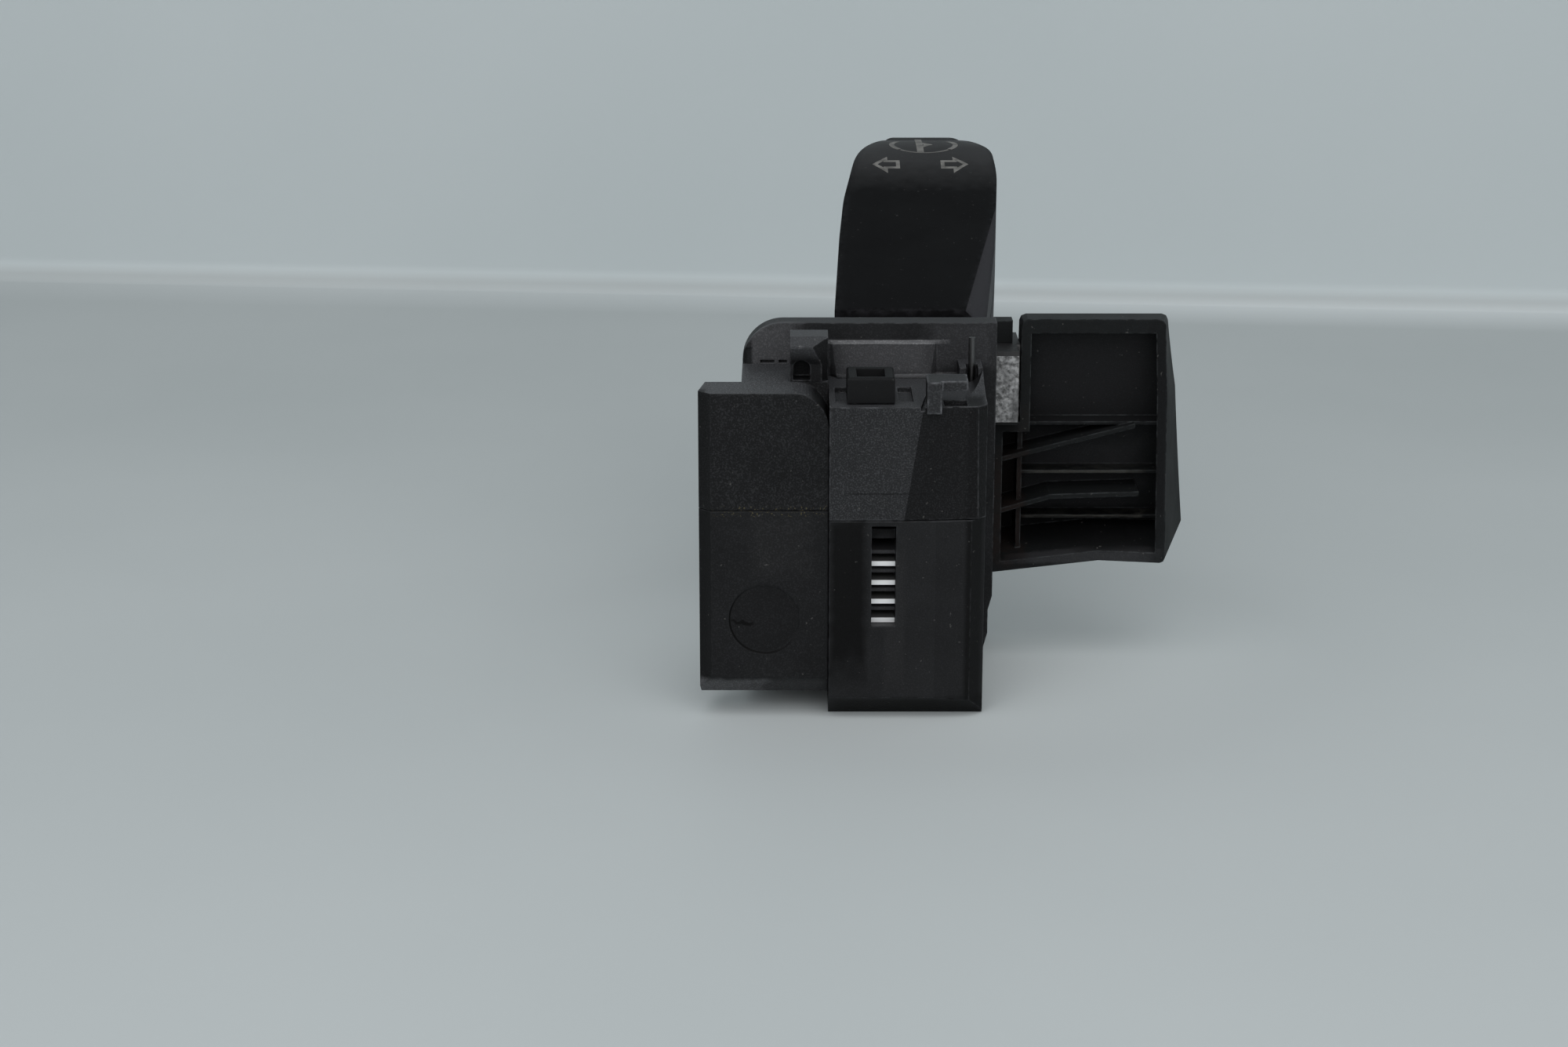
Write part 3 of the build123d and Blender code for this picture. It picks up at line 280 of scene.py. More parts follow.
# --- shader helpers -----------------------------------------------------------------------
def add(tree, kind, links=None, **settings):
    """Adds a node, sets its properties and joins or fills its inputs."""
    node = tree.nodes.new(kind)
    for label, value in settings.items():
        setattr(node, label, value)
    for label, value in (links or {}).items():
        socket = node.inputs[label]
        if isinstance(value, bpy.types.NodeSocket):
            tree.links.new(value, socket)
        else:
            socket.default_value = value
    return node


def ramp(tree, value, low, high, to_low=0.0, to_high=1.0, curve="LINEAR"):
    """A clamped ramp from one range to another."""
    spans = {"Value": value, "From Min": low, "From Max": high, "To Min": to_low, "To Max": to_high}
    return add(tree, "ShaderNodeMapRange", spans, interpolation_type=curve).outputs[0]


def value_of(tree, operation, *terms):
    """The result of one step of arithmetic on values."""
    return add(tree, "ShaderNodeMath", dict(enumerate(terms)), operation=operation).outputs[0]


def vector_of(tree, operation, *terms):
    """The result of one step of arithmetic on vectors: a value for a length or a dot product."""
    node = add(tree, "ShaderNodeVectorMath", dict(enumerate(terms)), operation=operation)
    return node.outputs["Value" if operation in ("LENGTH", "DOT_PRODUCT") else "Vector"]


def times(tree, first, second):
    """The product of two values."""
    return value_of(tree, "MULTIPLY", first, second)


def brightened(tree, colour, factor):
    """A colour made brighter, or darker, by a factor."""
    links = {"Vector": colour, "Scale": factor}
    return add(tree, "ShaderNodeVectorMath", links, operation="SCALE").outputs["Vector"]


def split(tree, vector):
    """The X, Y and Z of a vector."""
    return add(tree, "ShaderNodeSeparateXYZ", {"Vector": vector}).outputs


def spot_on(tree):
    """Where a point of the surface lies, in the object's own coordinates."""
    return add(tree, "ShaderNodeTexCoord").outputs["Object"]


def facing(tree, kind="True Normal"):
    """The X, Y and Z of the way that a face looks."""
    return split(tree, add(tree, "ShaderNodeNewGeometry").outputs[kind])


def noise(tree, place, scale, detail, rough=0.5):
    """Noise on a place."""
    links = {"Vector": place, "Scale": scale, "Detail": detail, "Roughness": rough}
    return add(tree, "ShaderNodeTexNoise", links).outputs[0]


def blend_colour(tree, first, second, factor):
    """Mixes two colours, each a socket or an RGB triple."""
    node = add(tree, "ShaderNodeMix", data_type="RGBA")
    for label, value in (("A", first), ("B", second)):
        if isinstance(value, bpy.types.NodeSocket):
            tree.links.new(value, node.inputs[label])
        else:
            node.inputs[label].default_value = (*value, 1)
    tree.links.new(factor, node.inputs["Factor"])
    return node.outputs["Result"]


# --- effects ------------------------------------------------------------------------------
# A SCALE is noise per metre. A pair with no other note holds where an effect starts and where it is full.
NOISE_SPAN = (0.3, 0.7)                # the noise's usual lows and highs
BEVEL_SAMPLES = 4
EDGE_TURN = (0.995, 0.86)              # cosine between the true and the rounded normal
EDGE_BREAK = (0.38, 0.66)
GRAIN_PEAK = (0.48, 0.70)
GRAIN_DEPTH = 0.06 * MM
CLOUD_SCALE = 110.0
ROUGH_SPREAD = 0.06                    # the clouds shift the roughness this far, up and down
SPECK_GAIN = 4.0                       # how much brighter the grain's peaks are
DUST_SCALE = 1900.0
DUST_PEAK = (0.74, 0.80)
DUST_LEAN = (-0.4, 0.9)                # how far a face looks up: least dust, most dust
DUST_SHARE = (0.4, 1.0)                # how much dust stays there
PATCH_SCALE = 600.0
PATCH_EDGE = (1.0, 0.6)                # share of the patch's half size
LINE_EDGE = (1.0, 0.4)                 # share of the round mark's line
LINE_STRONG_WAY = (-0.75, 0.0, -0.66)
LINE_LEAN = (-0.35, 0.5)               # cosine from that way
MARK_DEPTH = (0.0, 0.6 * MM)           # inwards from the round mark's line
MARK_SHADE = 0.35                      # how far the disc inside it is darkened
CRACK_SCALE = 900.0
CRACK_WAVE = (-0.3 * MM, 0.3 * MM)     # how far the crack wanders, up and down
CRACK_SLANT = 0.12                     # how much it falls for each unit to the right
CRACK_HALF_WIDTH = (0.30 * MM, 0.12 * MM)
CRACK_HALF_LENGTH = (1.8 * MM, 1.2 * MM)
TOP_LEAN = (0.8, 0.95)                 # how far a top looks up
FRONT_LEAN = (0.75, 0.95)              # how far a front looks forwards
CRUMB_SCALE = 3600.0
CRUMB_PEAK = (0.61, 0.67)
CRUMB_RAGGED = 0.6
SCUFF_SCALE = 1700.0
SCUFF_SPAN = (0.38, 0.64)
SCUFF_TONES = (0.40, 2.0)              # its darkest and palest, as a share of the plastic's own tone
SCUFF_DEPTH = 0.08 * MM
SCUFF_RELIEF = 0.9
SCUFF_GLOSS = 0.3
DIRT_SCALE = 420.0
DIRT_SPAN = (0.45, 0.70)
DIRT_COVER = (0.0, 0.8)                # how far the dirt covers there
DIRT_TONE = 0.35                       # share of the plastic's own tone
SCRATCH_STRETCH = (1.0, 12.0, 12.0)
SCRATCH_TONE = 0.82                    # share of the metal's own tone
SCRATCH_ROUGH = (0.7, 1.4)             # its least and most, as a share of the metal's own roughness
RUB_SCALE = 700.0
RUB_SPAN = (0.35, 0.6)
RUB_TONE = 0.55                        # where the ink is thin, as a share of its own tone
PAINT_ROUGH = 0.6                      # of the ink and the board
PAINT_GLOSS = 0.2


def start_group(name, inputs, outputs):
    """An empty shader group with its sockets: a triple makes a vector input, and Normal a vector output."""
    group = bpy.data.node_groups.new(name, "ShaderNodeTree")
    for label, value in inputs.items():
        kind = "NodeSocketVector" if isinstance(value, tuple) else "NodeSocketFloat"
        group.interface.new_socket(label, in_out="INPUT", socket_type=kind).default_value = value
    for label in outputs:
        kind = "NodeSocketVector" if label == "Normal" else "NodeSocketFloat"
        group.interface.new_socket(label, in_out="OUTPUT", socket_type=kind)
    return group, group.nodes.new("NodeGroupInput").outputs


def finish_group(group, **results):
    """Joins each result to the group's output of that name."""
    leave = group.nodes.new("NodeGroupOutput")
    for label, value in results.items():
        group.links.new(value, leave.inputs[label])
    return group


def use_group(tree, name, **values):
    """Places a shared group in a material with its own values, and gives its outputs."""
    node = tree.nodes.new("ShaderNodeGroup")
    node.node_tree = GROUPS[name]
    for label, value in values.items():
        node.inputs[label].default_value = value
    return node.outputs


def edge_highlight_and_wear_group():
    """Normal = the edges rounded off; Wear = how far it turns from the true one, broken up by noise, which
    marks edges for a tone partly of wear and partly of painted highlight.
    """
    group, given = start_group("edge_highlight_and_wear", {"Width": 0.4 * MM, "Break": 900.0}, ["Wear", "Normal"])
    rounded = add(group, "ShaderNodeBevel", {"Radius": given["Width"]}, samples=BEVEL_SAMPLES).outputs[0]
    true = add(group, "ShaderNodeNewGeometry").outputs["Normal"]
    turn = ramp(group, vector_of(group, "DOT_PRODUCT", rounded, true), *EDGE_TURN)
    broken = ramp(group, noise(group, spot_on(group), given["Break"], detail=3.0), *EDGE_BREAK)
    return finish_group(group, Wear=times(group, turn, broken), Normal=rounded)


def grain_group():
    """Spark-eroded grain: fine noise as Height, its peaks as Speck, and slow noise as Cloud."""
    group, given = start_group("grain", {"Size": 5200.0}, ["Height", "Speck", "Cloud"])
    place = spot_on(group)
    fine = noise(group, place, given["Size"], detail=2.0)
    slow = noise(group, place, CLOUD_SCALE, detail=4.0)
    return finish_group(group, Height=fine, Speck=ramp(group, fine, *GRAIN_PEAK),
                        Cloud=ramp(group, slow, *NOISE_SPAN))


def dust_group():
    """Dust = rare specks, more of them on faces that look up."""
    group, given = start_group("dust", {"Amount": 0.3}, ["Dust"])
    specks = ramp(group, noise(group, spot_on(group), DUST_SCALE, detail=1.0), *DUST_PEAK)
    upward = ramp(group, facing(group, "Normal")["Z"], *DUST_LEAN, *DUST_SHARE)
    return finish_group(group, Dust=times(group, times(group, specks, upward), given["Amount"]))


def patch_group():
    """Mask = a soft ragged box round a centre: 1 inside, falling to 0 over the end of each half size."""
    inputs = {"Centre": (0.0, 0.0, 0.0), "Half": in_metres(10.0, 10.0, 10.0), "Ragged": 0.3}
    group, given = start_group("patch", inputs, ["Mask"])
    place = spot_on(group)
    offset = vector_of(group, "SUBTRACT", place, given["Centre"])
    share = vector_of(group, "DIVIDE", offset, given["Half"])
    reach = split(group, vector_of(group, "ABSOLUTE", share))
    widest = value_of(group, "MAXIMUM", reach["X"], reach["Y"])
    widest = value_of(group, "MAXIMUM", widest, reach["Z"])
    shift = value_of(group, "SUBTRACT", noise(group, place, PATCH_SCALE, detail=3.0), 0.5)
    edge = value_of(group, "ADD", widest, times(group, shift, given["Ragged"]))
    return finish_group(group, Mask=ramp(group, edge, *PATCH_EDGE))


def round_mark_group():
    """A round moulding mark in the X-Z plane.

    Line = its thin outline, strongest at the lower left, and a crack inside it; Inside = the disc within.
    """
    inputs = {"Centre": (0.0, 0.0, 0.0), "Radius": 4.7 * MM, "Width": 0.16 * MM,
              "Crack": in_metres(-3.0, 0.0, -0.52)}
    group, given = start_group("round_mark", inputs, ["Line", "Inside"])
    place = spot_on(group)
    offset = vector_of(group, "SUBTRACT", place, given["Centre"])
    flat = vector_of(group, "MULTIPLY", offset, (1.0, 0.0, 1.0))
    inward = value_of(group, "SUBTRACT", given["Radius"], vector_of(group, "LENGTH", flat))
    share = value_of(group, "DIVIDE", value_of(group, "ABSOLUTE", inward), given["Width"])
    toward = vector_of(group, "DOT_PRODUCT", vector_of(group, "NORMALIZE", flat), LINE_STRONG_WAY)
    outline = times(group, ramp(group, share, *LINE_EDGE), ramp(group, toward, *LINE_LEAN))
    from_crack = split(group, vector_of(group, "SUBTRACT", flat, given["Crack"]))
    wave = ramp(group, noise(group, place, CRACK_SCALE, detail=2.0), *NOISE_SPAN, *CRACK_WAVE)
    slant = value_of(group, "MULTIPLY_ADD", from_crack["X"], CRACK_SLANT, from_crack["Z"])
    above = value_of(group, "ABSOLUTE", value_of(group, "ADD", slant, wave))
    beside = value_of(group, "ABSOLUTE", from_crack["X"])
    crack = times(group, ramp(group, above, *CRACK_HALF_WIDTH), ramp(group, beside, *CRACK_HALF_LENGTH))
    return finish_group(group, Line=value_of(group, "MAXIMUM", outline, crack),
                        Inside=ramp(group, inward, *MARK_DEPTH))


def turned_group():
    """Masks for painted light and shade: Turned = 1 on faces that look sideways, 0 on faces that look ahead
    or up; Upward = 1 on tops.
    """
    group, given = start_group("turned", {"Start": 0.03, "Full": 0.09}, ["Turned", "Upward"])
    way = facing(group)
    turned = ramp(group, value_of(group, "ABSOLUTE", way["X"]), given["Start"], given["Full"])
    return finish_group(group, Turned=turned, Upward=ramp(group, way["Z"], *TOP_LEAN))


# --- kinds of finish ----------------------------------------------------------------------
PLASTIC_TINT = np.array([0.98, 1.00, 1.06])
SHROUD_TINT = np.array([0.94, 1.02, 1.05])
LEVER_TINT = np.array([1.0, 0.98, 1.09])
BOARD_TINT = np.array([0.45, 1.25, 0.6])
DUST_COLOUR = (0.34, 0.33, 0.31)
DARK = (0.004, 0.004, 0.0043)
BLACK = (0.001, 0.001, 0.001)
GREASE = (0.018, 0.0105, 0.0085)
CRUMB = (0.075, 0.065, 0.035)
WHITE = (1.0, 1.0, 1.0)


def grey(level):
    """A neutral colour as an array."""
    return np.array([level, level, level])


def start_material(name):
    """A new material, its node tree and its shader."""
    material = bpy.data.materials.new(name)
    material.use_nodes = True
    return material, material.node_tree, material.node_tree.nodes["Principled BSDF"]


def moulded(name, front, side, top, highlight_and_wear=0.09, rough=0.5, gloss=0.12, relief=0.5, speck=0.25, cloud=0.2,
            edge_width=0.3, dust=0.25, tint=PLASTIC_TINT, patches=(), mark=None, crumbs=None):
    """Moulded plastic: a tone for its front, painted light and shade as tones for its sides and tops, clouds
    and grain specks, and edges paler from wear and painted highlight.

    The patches are laid over it in turn. The mark is the round mark's centre, and crumbs are the centre
    and half sizes of the band that they lie in. All of these places and sizes are in millimetres.
    """
    material, tree, shader = start_material(name)
    shader.inputs["Specular IOR Level"].default_value = gloss
    grain = use_group(tree, "grain")
    turned = use_group(tree, "turned")
    # painted light and shade: sides and tops take tones of their own, by the way each face looks
    base = blend_colour(tree, front * tint, side * tint, turned["Turned"])
    base = blend_colour(tree, base, top * tint, turned["Upward"])
    base = brightened(tree, base, ramp(tree, grain["Cloud"], 0.0, 1.0, 1 - cloud, 1 + cloud))
    for patch in patches:
        area = use_group(tree, "patch", Centre=in_metres(*patch.centre), Half=in_metres(*patch.half),
                         Ragged=patch.ragged)
        base = blend_colour(tree, base, patch.colour, times(tree, area["Mask"], patch.cover))
    if mark:
        round_mark = use_group(tree, "round_mark", Centre=in_metres(*mark))
        base = blend_colour(tree, base, DARK, times(tree, round_mark["Inside"], MARK_SHADE))
    bright = brightened(tree, base, SPECK_GAIN)
    base = blend_colour(tree, base, bright, times(tree, grain["Speck"], speck))
    # edges: a paler tone, partly wear and partly painted highlight
    edges_highlit_and_worn = use_group(tree, "edge_highlight_and_wear", Width=edge_width * MM)
    base = blend_colour(tree, base, highlight_and_wear * tint, edges_highlit_and_worn["Wear"])
    if mark:
        base = blend_colour(tree, base, BLACK, round_mark["Line"])
    if crumbs:
        centre, half = crumbs
        band = use_group(tree, "patch", Centre=in_metres(*centre), Half=in_metres(*half),
                         Ragged=CRUMB_RAGGED)
        bits = ramp(tree, use_group(tree, "grain", Size=CRUMB_SCALE)["Height"], *CRUMB_PEAK)
        base = blend_colour(tree, base, CRUMB, times(tree, band["Mask"], bits))
    base = blend_colour(tree, base, DUST_COLOUR, use_group(tree, "dust", Amount=dust)["Dust"])
    dull = ramp(tree, grain["Cloud"], 0.0, 1.0, rough - ROUGH_SPREAD, rough + ROUGH_SPREAD)
    bump = add(tree, "ShaderNodeBump", {"Strength": relief, "Distance": GRAIN_DEPTH,
                                        "Height": grain["Height"], "Normal": edges_highlit_and_worn["Normal"]})
    tree.links.new(base, shader.inputs["Base Color"])
    tree.links.new(dull, shader.inputs["Roughness"])
    tree.links.new(bump.outputs[0], shader.inputs["Normal"])
    return material


def scuffed(name, pale, shaded, rough):
    """Pale plastic with a rough speckled front, and dark on faces that look up or sideways."""
    material, tree, shader = start_material(name)
    shader.inputs["Specular IOR Level"].default_value = SCUFF_GLOSS
    shader.inputs["Roughness"].default_value = rough
    place = spot_on(tree)
    speckle = noise(tree, place, SCUFF_SCALE, detail=4.0, rough=0.6)
    dirt = ramp(tree, noise(tree, place, DIRT_SCALE, detail=3.0), *DIRT_SPAN, *DIRT_COVER)
    darkest, palest = (pale * share for share in SCUFF_TONES)
    base = blend_colour(tree, darkest, palest, ramp(tree, speckle, *SCUFF_SPAN))
    base = blend_colour(tree, base, pale * DIRT_TONE, dirt)
    forwards = times(tree, facing(tree)["Y"], -1.0)
    base = blend_colour(tree, shaded, base, ramp(tree, forwards, *FRONT_LEAN))
    bump = add(tree, "ShaderNodeBump", {"Strength": SCUFF_RELIEF, "Distance": SCUFF_DEPTH,
                                        "Height": speckle})
    tree.links.new(base, shader.inputs["Base Color"])
    tree.links.new(bump.outputs[0], shader.inputs["Normal"])
    return material


def metal(name, base, rough, scratch_scale, shine=1.0, top=1.0):
    """Metal with fine scratches in its colour and roughness; tops may take painted shade, darker than the cut
    edges.
    """
    material, tree, shader = start_material(name)
    shader.inputs["Metallic"].default_value = shine
    stretched = add(tree, "ShaderNodeMapping", {"Vector": spot_on(tree), "Scale": SCRATCH_STRETCH})
    scratches = noise(tree, stretched.outputs[0], scratch_scale, detail=3.0)
    tone = blend_colour(tree, base * SCRATCH_TONE, base, scratches)
    # painted shade on tops
    tone = blend_colour(tree, tone, base * top, use_group(tree, "turned")["Upward"])
    dull = ramp(tree, scratches, 0.0, 1.0, *(rough * share for share in SCRATCH_ROUGH))
    tree.links.new(tone, shader.inputs["Base Color"])
    tree.links.new(dull, shader.inputs["Roughness"])
    return material


def ink(name, tone):
    """Printed sign: pale ink, thin in places from wear."""
    material, tree, shader = start_material(name)
    shader.inputs["Roughness"].default_value = PAINT_ROUGH
    shader.inputs["Specular IOR Level"].default_value = PAINT_GLOSS
    rub = noise(tree, spot_on(tree), RUB_SCALE, detail=3.0)
    base = blend_colour(tree, tone * RUB_TONE, tone, ramp(tree, rub, *RUB_SPAN))
    tree.links.new(base, shader.inputs["Base Color"])
    return material


def stage_paint(name):
    """Pale board with painted light and shade: the wall's tone, the floor's from back to front, a painted
    lift of the floor's shade close round the object, and a painted highlight band where the floor bends up.

    It is clear from behind, so that it never hides the object.
    """
    material, tree, shader = start_material(name)
    shader.inputs["Roughness"].default_value = PAINT_ROUGH
    shader.inputs["Specular IOR Level"].default_value = PAINT_GLOSS
    place = spot_on(tree)
    spot = split(tree, place)
    # painted light: the floor grows paler from back to front
    floor = blend_colour(tree, FLOOR_BACK, FLOOR_FRONT, ramp(tree, spot["Y"], *FLOOR_BLEND))
    # painted light: lifts the floor's shade close round the object
    away = vector_of(tree, "LENGTH", vector_of(tree, "DIVIDE", place, PAINTED_LIGHT_REACH))
    floor = blend_colour(tree, floor, FLOOR_PAINTED_LIGHT, ramp(tree, away, 1.0, 0.0, curve="SMOOTHSTEP"))
    # painted highlight: a light band just before the wall
    lean = value_of(tree, "MULTIPLY_ADD", spot["X"], -WALL_TURN, spot["Y"])
    rise = ramp(tree, lean, *(WALL_Y - gap for gap in SEAM_RISE))
    fall = ramp(tree, lean, *(WALL_Y - gap for gap in SEAM_FALL))
    cover = ramp(tree, spot["X"], *SEAM_SPAN, *SEAM_COVER)
    floor = blend_colour(tree, floor, SEAM_HIGHLIGHT, times(tree, times(tree, rise, fall), cover))
    # painted light and shade: the one board takes the wall's tone where it looks ahead, the floor's where it
    # looks up
    upward = ramp(tree, facing(tree, "Normal")["Z"], *WALL_TO_FLOOR)
    board = blend_colour(tree, WALL_COLOUR, floor, upward)
    cloud = ramp(tree, noise(tree, place, BOARD_CLOUD_SCALE, detail=3.0), *NOISE_SPAN, 0.0, BOARD_CLOUD)
    tree.links.new(blend_colour(tree, board, WHITE, cloud), shader.inputs["Base Color"])
    behind = add(tree, "ShaderNodeNewGeometry").outputs["Backfacing"]
    clear = add(tree, "ShaderNodeBsdfTransparent").outputs[0]
    either = add(tree, "ShaderNodeMixShader", {0: behind, 1: shader.outputs[0], 2: clear})
    tree.links.new(either.outputs[0], tree.nodes["Material Output"].inputs["Surface"])
    return material


# --- finishes of the pieces, in millimetres -----------------------------------------------
def left_upper_finish():
    """Upper left cover: painted shade along its bevel and its parting line, with crumbs in the line."""
    box = box_of("left_cover_upper")
    patches = [
        # painted shade on the bevel at the left
        Patch((box.left + 0.2, box.front + 1.0, box.top - 4.4), (1.0, 2.0, 20.0),
              DARK, cover=0.9, ragged=0.2),
        # painted shade along the parting line below
        Patch((box.left + 9.2, box.front, box.bottom - 0.12), (11.0, 0.8, 0.4),
              DARK, cover=0.9, ragged=0.5),
    ]
    crumbs = (box.left + 10.2, box.front, box.bottom - 0.02), (9.5, 1.0, 0.7)
    return moulded("left_upper", front=0.0073, side=0.005, top=0.034, highlight_and_wear=0.04, speck=0.75,
                   patches=patches, crumbs=crumbs)


def left_lower_finish():
    """Lower left cover: painted shade on its bevel, painted reflection on the lead-in below, a rub under the
    parting line, the round mark.
    """
    box = box_of("left_cover_lower")
    patches = [
        # painted shade on the bevel at the left
        Patch((box.left + 0.2, box.front + 1.0, box.bottom + 12.0), (1.0, 2.0, 20.0),
              DARK, cover=0.9, ragged=0.2),
        # painted reflection of the floor on the lead-in under the face
        Patch((box.left + 8.7, box.front + 1.5, box.bottom + 0.4), (16.0, 3.0, 2.2),
              (0.028, 0.028, 0.0295), cover=0.8, ragged=0.2),
        # its left end, where the painted reflection is paler
        Patch((box.left + 2.7, box.front + 1.5, box.bottom + 0.4), (7.0, 3.0, 2.2),
              (0.070, 0.070, 0.073), cover=0.8, ragged=0.6),
        # a paler rub on the face
        Patch((box.left + 10.7, box.front, box.top - 4.6), (4.5, 1.0, 5.0),
              (0.015, 0.015, 0.0155), cover=0.6, ragged=0.5),
    ]
    mark = box.left + 8.7, box.front, box.bottom + 10.8
    crumbs = (box.left + 10.2, box.front, box.top - 0.1), (9.5, 1.0, 0.7)
    return moulded("left_lower", front=0.0088, side=0.005, top=0.02, highlight_and_wear=0.03, speck=0.3,
                   patches=patches, mark=mark, crumbs=crumbs)


def contact_cover_finish():
    """Contact cover: painted shade along its bevel, with a fine line across its face."""
    box = box_of("contact_cover")
    patches = [
        # painted shade on the bevel at the right
        Patch((box.right - 1.5, box.front + 2.5, box.top - 10.0), (1.4, 4.0, 30.0),
              DARK, cover=0.8, ragged=0.2),
        # the line across the face
        Patch((box.left + 8.1, box.front, box.bottom + 3.58), (7.0, 1.0, 0.14),
              DARK, cover=0.6, ragged=0.5),
    ]
    return moulded("contact_cover", front=0.0185, side=0.0055, top=0.032, highlight_and_wear=0.14, speck=0.6,
                   cloud=0.12, patches=patches)


def plug_cover_finish():
    """Plug cover: painted shade left of the slot, on its bevel and on its lead-in, and tones on its face
    round the slot and on the slot's inside.
    """
    box = box_of("terminal_housing")
    patches = [
        # painted shade left of the slot
        Patch((box.left + 2.5, box.front, box.top - 9.4), (2.8, 1.2, 14.0),
              BLACK, cover=0.9, ragged=0.3),
        # a paler strip right of it
        Patch((box.left + 8.7, box.front, box.bottom + 14.0), (1.6, 1.0, 12.0),
              (0.017, 0.017, 0.0177), cover=0.7, ragged=0.5),
        # painted shade on the bevel at the right
        Patch((box.right - 1.5, box.front + 2.5, box.bottom + 15.0), (1.4, 4.0, 30.0),
              BLACK, cover=0.8, ragged=0.2),
        # painted shade on the lead-in under the face, which reflects the shaded floor
        Patch((box.right - 9.5, box.front + 2.0, box.bottom + 0.9), (14.0, 3.0, 2.4),
              BLACK, cover=0.9, ragged=0.1),
        # dividers and ledges in the slot
        Patch((box.left + 7.2, box.front + 4.0, box.bottom + 17.5), (2.4, 3.4, 7.5),
              (0.050, 0.050, 0.053), cover=0.9, ragged=0.3),
    ]
    return moulded("plug_cover", front=0.0122, side=0.0105, top=0.02, highlight_and_wear=0.06, speck=0.15,
                   patches=patches)


def flange_finish():
    """Flange: paler in places on its face, painted light on its ramp, painted highlights along the ramp's
    crest and foot, and painted shade on its left edge.
    """
    box = box_of("rear_housing")
    patches = [
        # the pale left part
        Patch((box.left + 3.1, box.front + 1.6, box.top - 4.5), (5.0, 1.0, 6.0),
              (0.066, 0.066, 0.069), cover=0.85, ragged=0.5),
        # painted light on the ramp, which looks up
        Patch((box.left + 19.0, box.front + 1.1, box.top - 4.7), (8.2, 1.0, 2.6),
              (0.050, 0.050, 0.053), cover=0.85, ragged=0.1),
        # the right part
        Patch((box.right - 4.7, box.front + 1.6, box.top - 3.0), (5.5, 1.0, 3.6),
              (0.031, 0.031, 0.033), cover=0.8, ragged=0.6),
        # painted shade on the left edge
        Patch((box.left + 0.4, box.front + 4.1, box.top - 5.0), (1.1, 4.0, 3.4),
              DARK, cover=0.85, ragged=0.2),
        # painted highlight along the ramp's crest
        Patch((box.left + 19.0, box.front + 1.6, box.top - 2.6), (9.0, 1.5, 0.3),
              (0.16, 0.16, 0.165), cover=0.9, ragged=0.3),
        # painted highlight along its foot
        Patch((box.left + 21.6, box.front + 1.1, box.top - 7.1), (9.0, 1.5, 0.35),
              (0.09, 0.09, 0.093), cover=0.8, ragged=0.6),
    ]
    return moulded("flange", front=0.0135, side=0.006, top=0.02, speck=0.2, cloud=0.3, patches=patches)


def hook_finish():
    """Latch hook: a pale head on a neck in shade."""
    box = box_of("latch_hook")
    neck = Patch((box.left + 2.5, box.front + 2.0, box.bottom + 0.6), (4.0, 4.0, 3.6),
                 DARK, cover=0.9, ragged=0.3)
    return moulded("hook", front=0.036, side=0.010, top=0.040, highlight_and_wear=0.12, speck=0.2, patches=[neck])


def shroud_finish():
    """Shroud: painted light in its bays and on its left wall's inside, painted highlights on its ribs' edges,
    painted shade in its lowest bay, a tone on each rim, and grease at the left.
    """
    box = box_of("shroud_shell")
    patches = [
        # painted light in the upper bay
        Patch((box.left + 14.1, box.front + 8.0, box.top - 8.9), (11.5, 6.5, 9.5),
              (0.016, 0.016, 0.017), cover=0.8, ragged=0.3),
        # painted light on the middle bay's back
        Patch((box.left + 12.6, box.back - 0.8, box.bottom + 16.3), (10.8, 4.2, 6.5),
              (0.028, 0.028, 0.0295), cover=0.9, ragged=0.2),
        # painted light on the lower bay's back
        Patch((box.left + 12.6, box.back + 0.2, box.bottom + 9.8), (10.8, 4.2, 4.5),
              (0.024, 0.024, 0.0255), cover=0.9, ragged=0.2),
        # painted highlight on the middle rib's edge
        Patch((box.left + 13.1, box.front + 5.5, box.bottom + 13.45), (9.5, 6.0, 0.27),
              (0.060, 0.058, 0.052), cover=0.8, ragged=0.6),
        # painted highlight on the lowest rib's edge
        Patch((box.left + 13.1, box.front + 5.5, box.bottom + 6.55), (9.5, 6.0, 0.27),
              (0.200, 0.190, 0.165), cover=0.9, ragged=0.8),
        # painted light on the left wall's inside
        Patch((box.left + 3.6, box.front + 5.0, box.bottom + 12.3), (1.8, 7.0, 13.0),
              (0.014, 0.013, 0.0125), cover=0.8, ragged=0.6),
        # the left edge of the rim
        Patch((box.left + 1.9, box.front, box.top - 7.9), (2.0, 1.5, 10.5),
              DARK, cover=0.8, ragged=0.4),
        # the right rim
        Patch((box.left + 22.7, box.front, box.bottom + 20.3), (1.7, 1.5, 17.0),
              (0.0075, 0.0075, 0.008), cover=0.8, ragged=0.4),
        # the lower rim
        Patch((box.left + 13.1, box.front, box.bottom + 2.3), (12.0, 2.0, 1.2),
              (0.035, 0.035, 0.037), cover=0.8, ragged=0.5),
        # painted shade in the lowest bay
        Patch((box.left + 13.1, box.front + 6.0, box.bottom + 5.1), (10.5, 10.0, 2.4),
              (0.006, 0.006, 0.0063), cover=0.9, ragged=0.3),
        # grease on the left wall
        Patch((box.left + 1.9, box.front + 4.0, box.bottom + 9.3), (3.6, 6.0, 9.0),
              GREASE, cover=0.5, ragged=0.8),
    ]
    return moulded("shroud", front=0.0115, side=0.0045, top=0.011, highlight_and_wear=0.07, gloss=0.06, speck=0.08,
                   relief=0.2, cloud=0.1, tint=SHROUD_TINT, patches=patches)


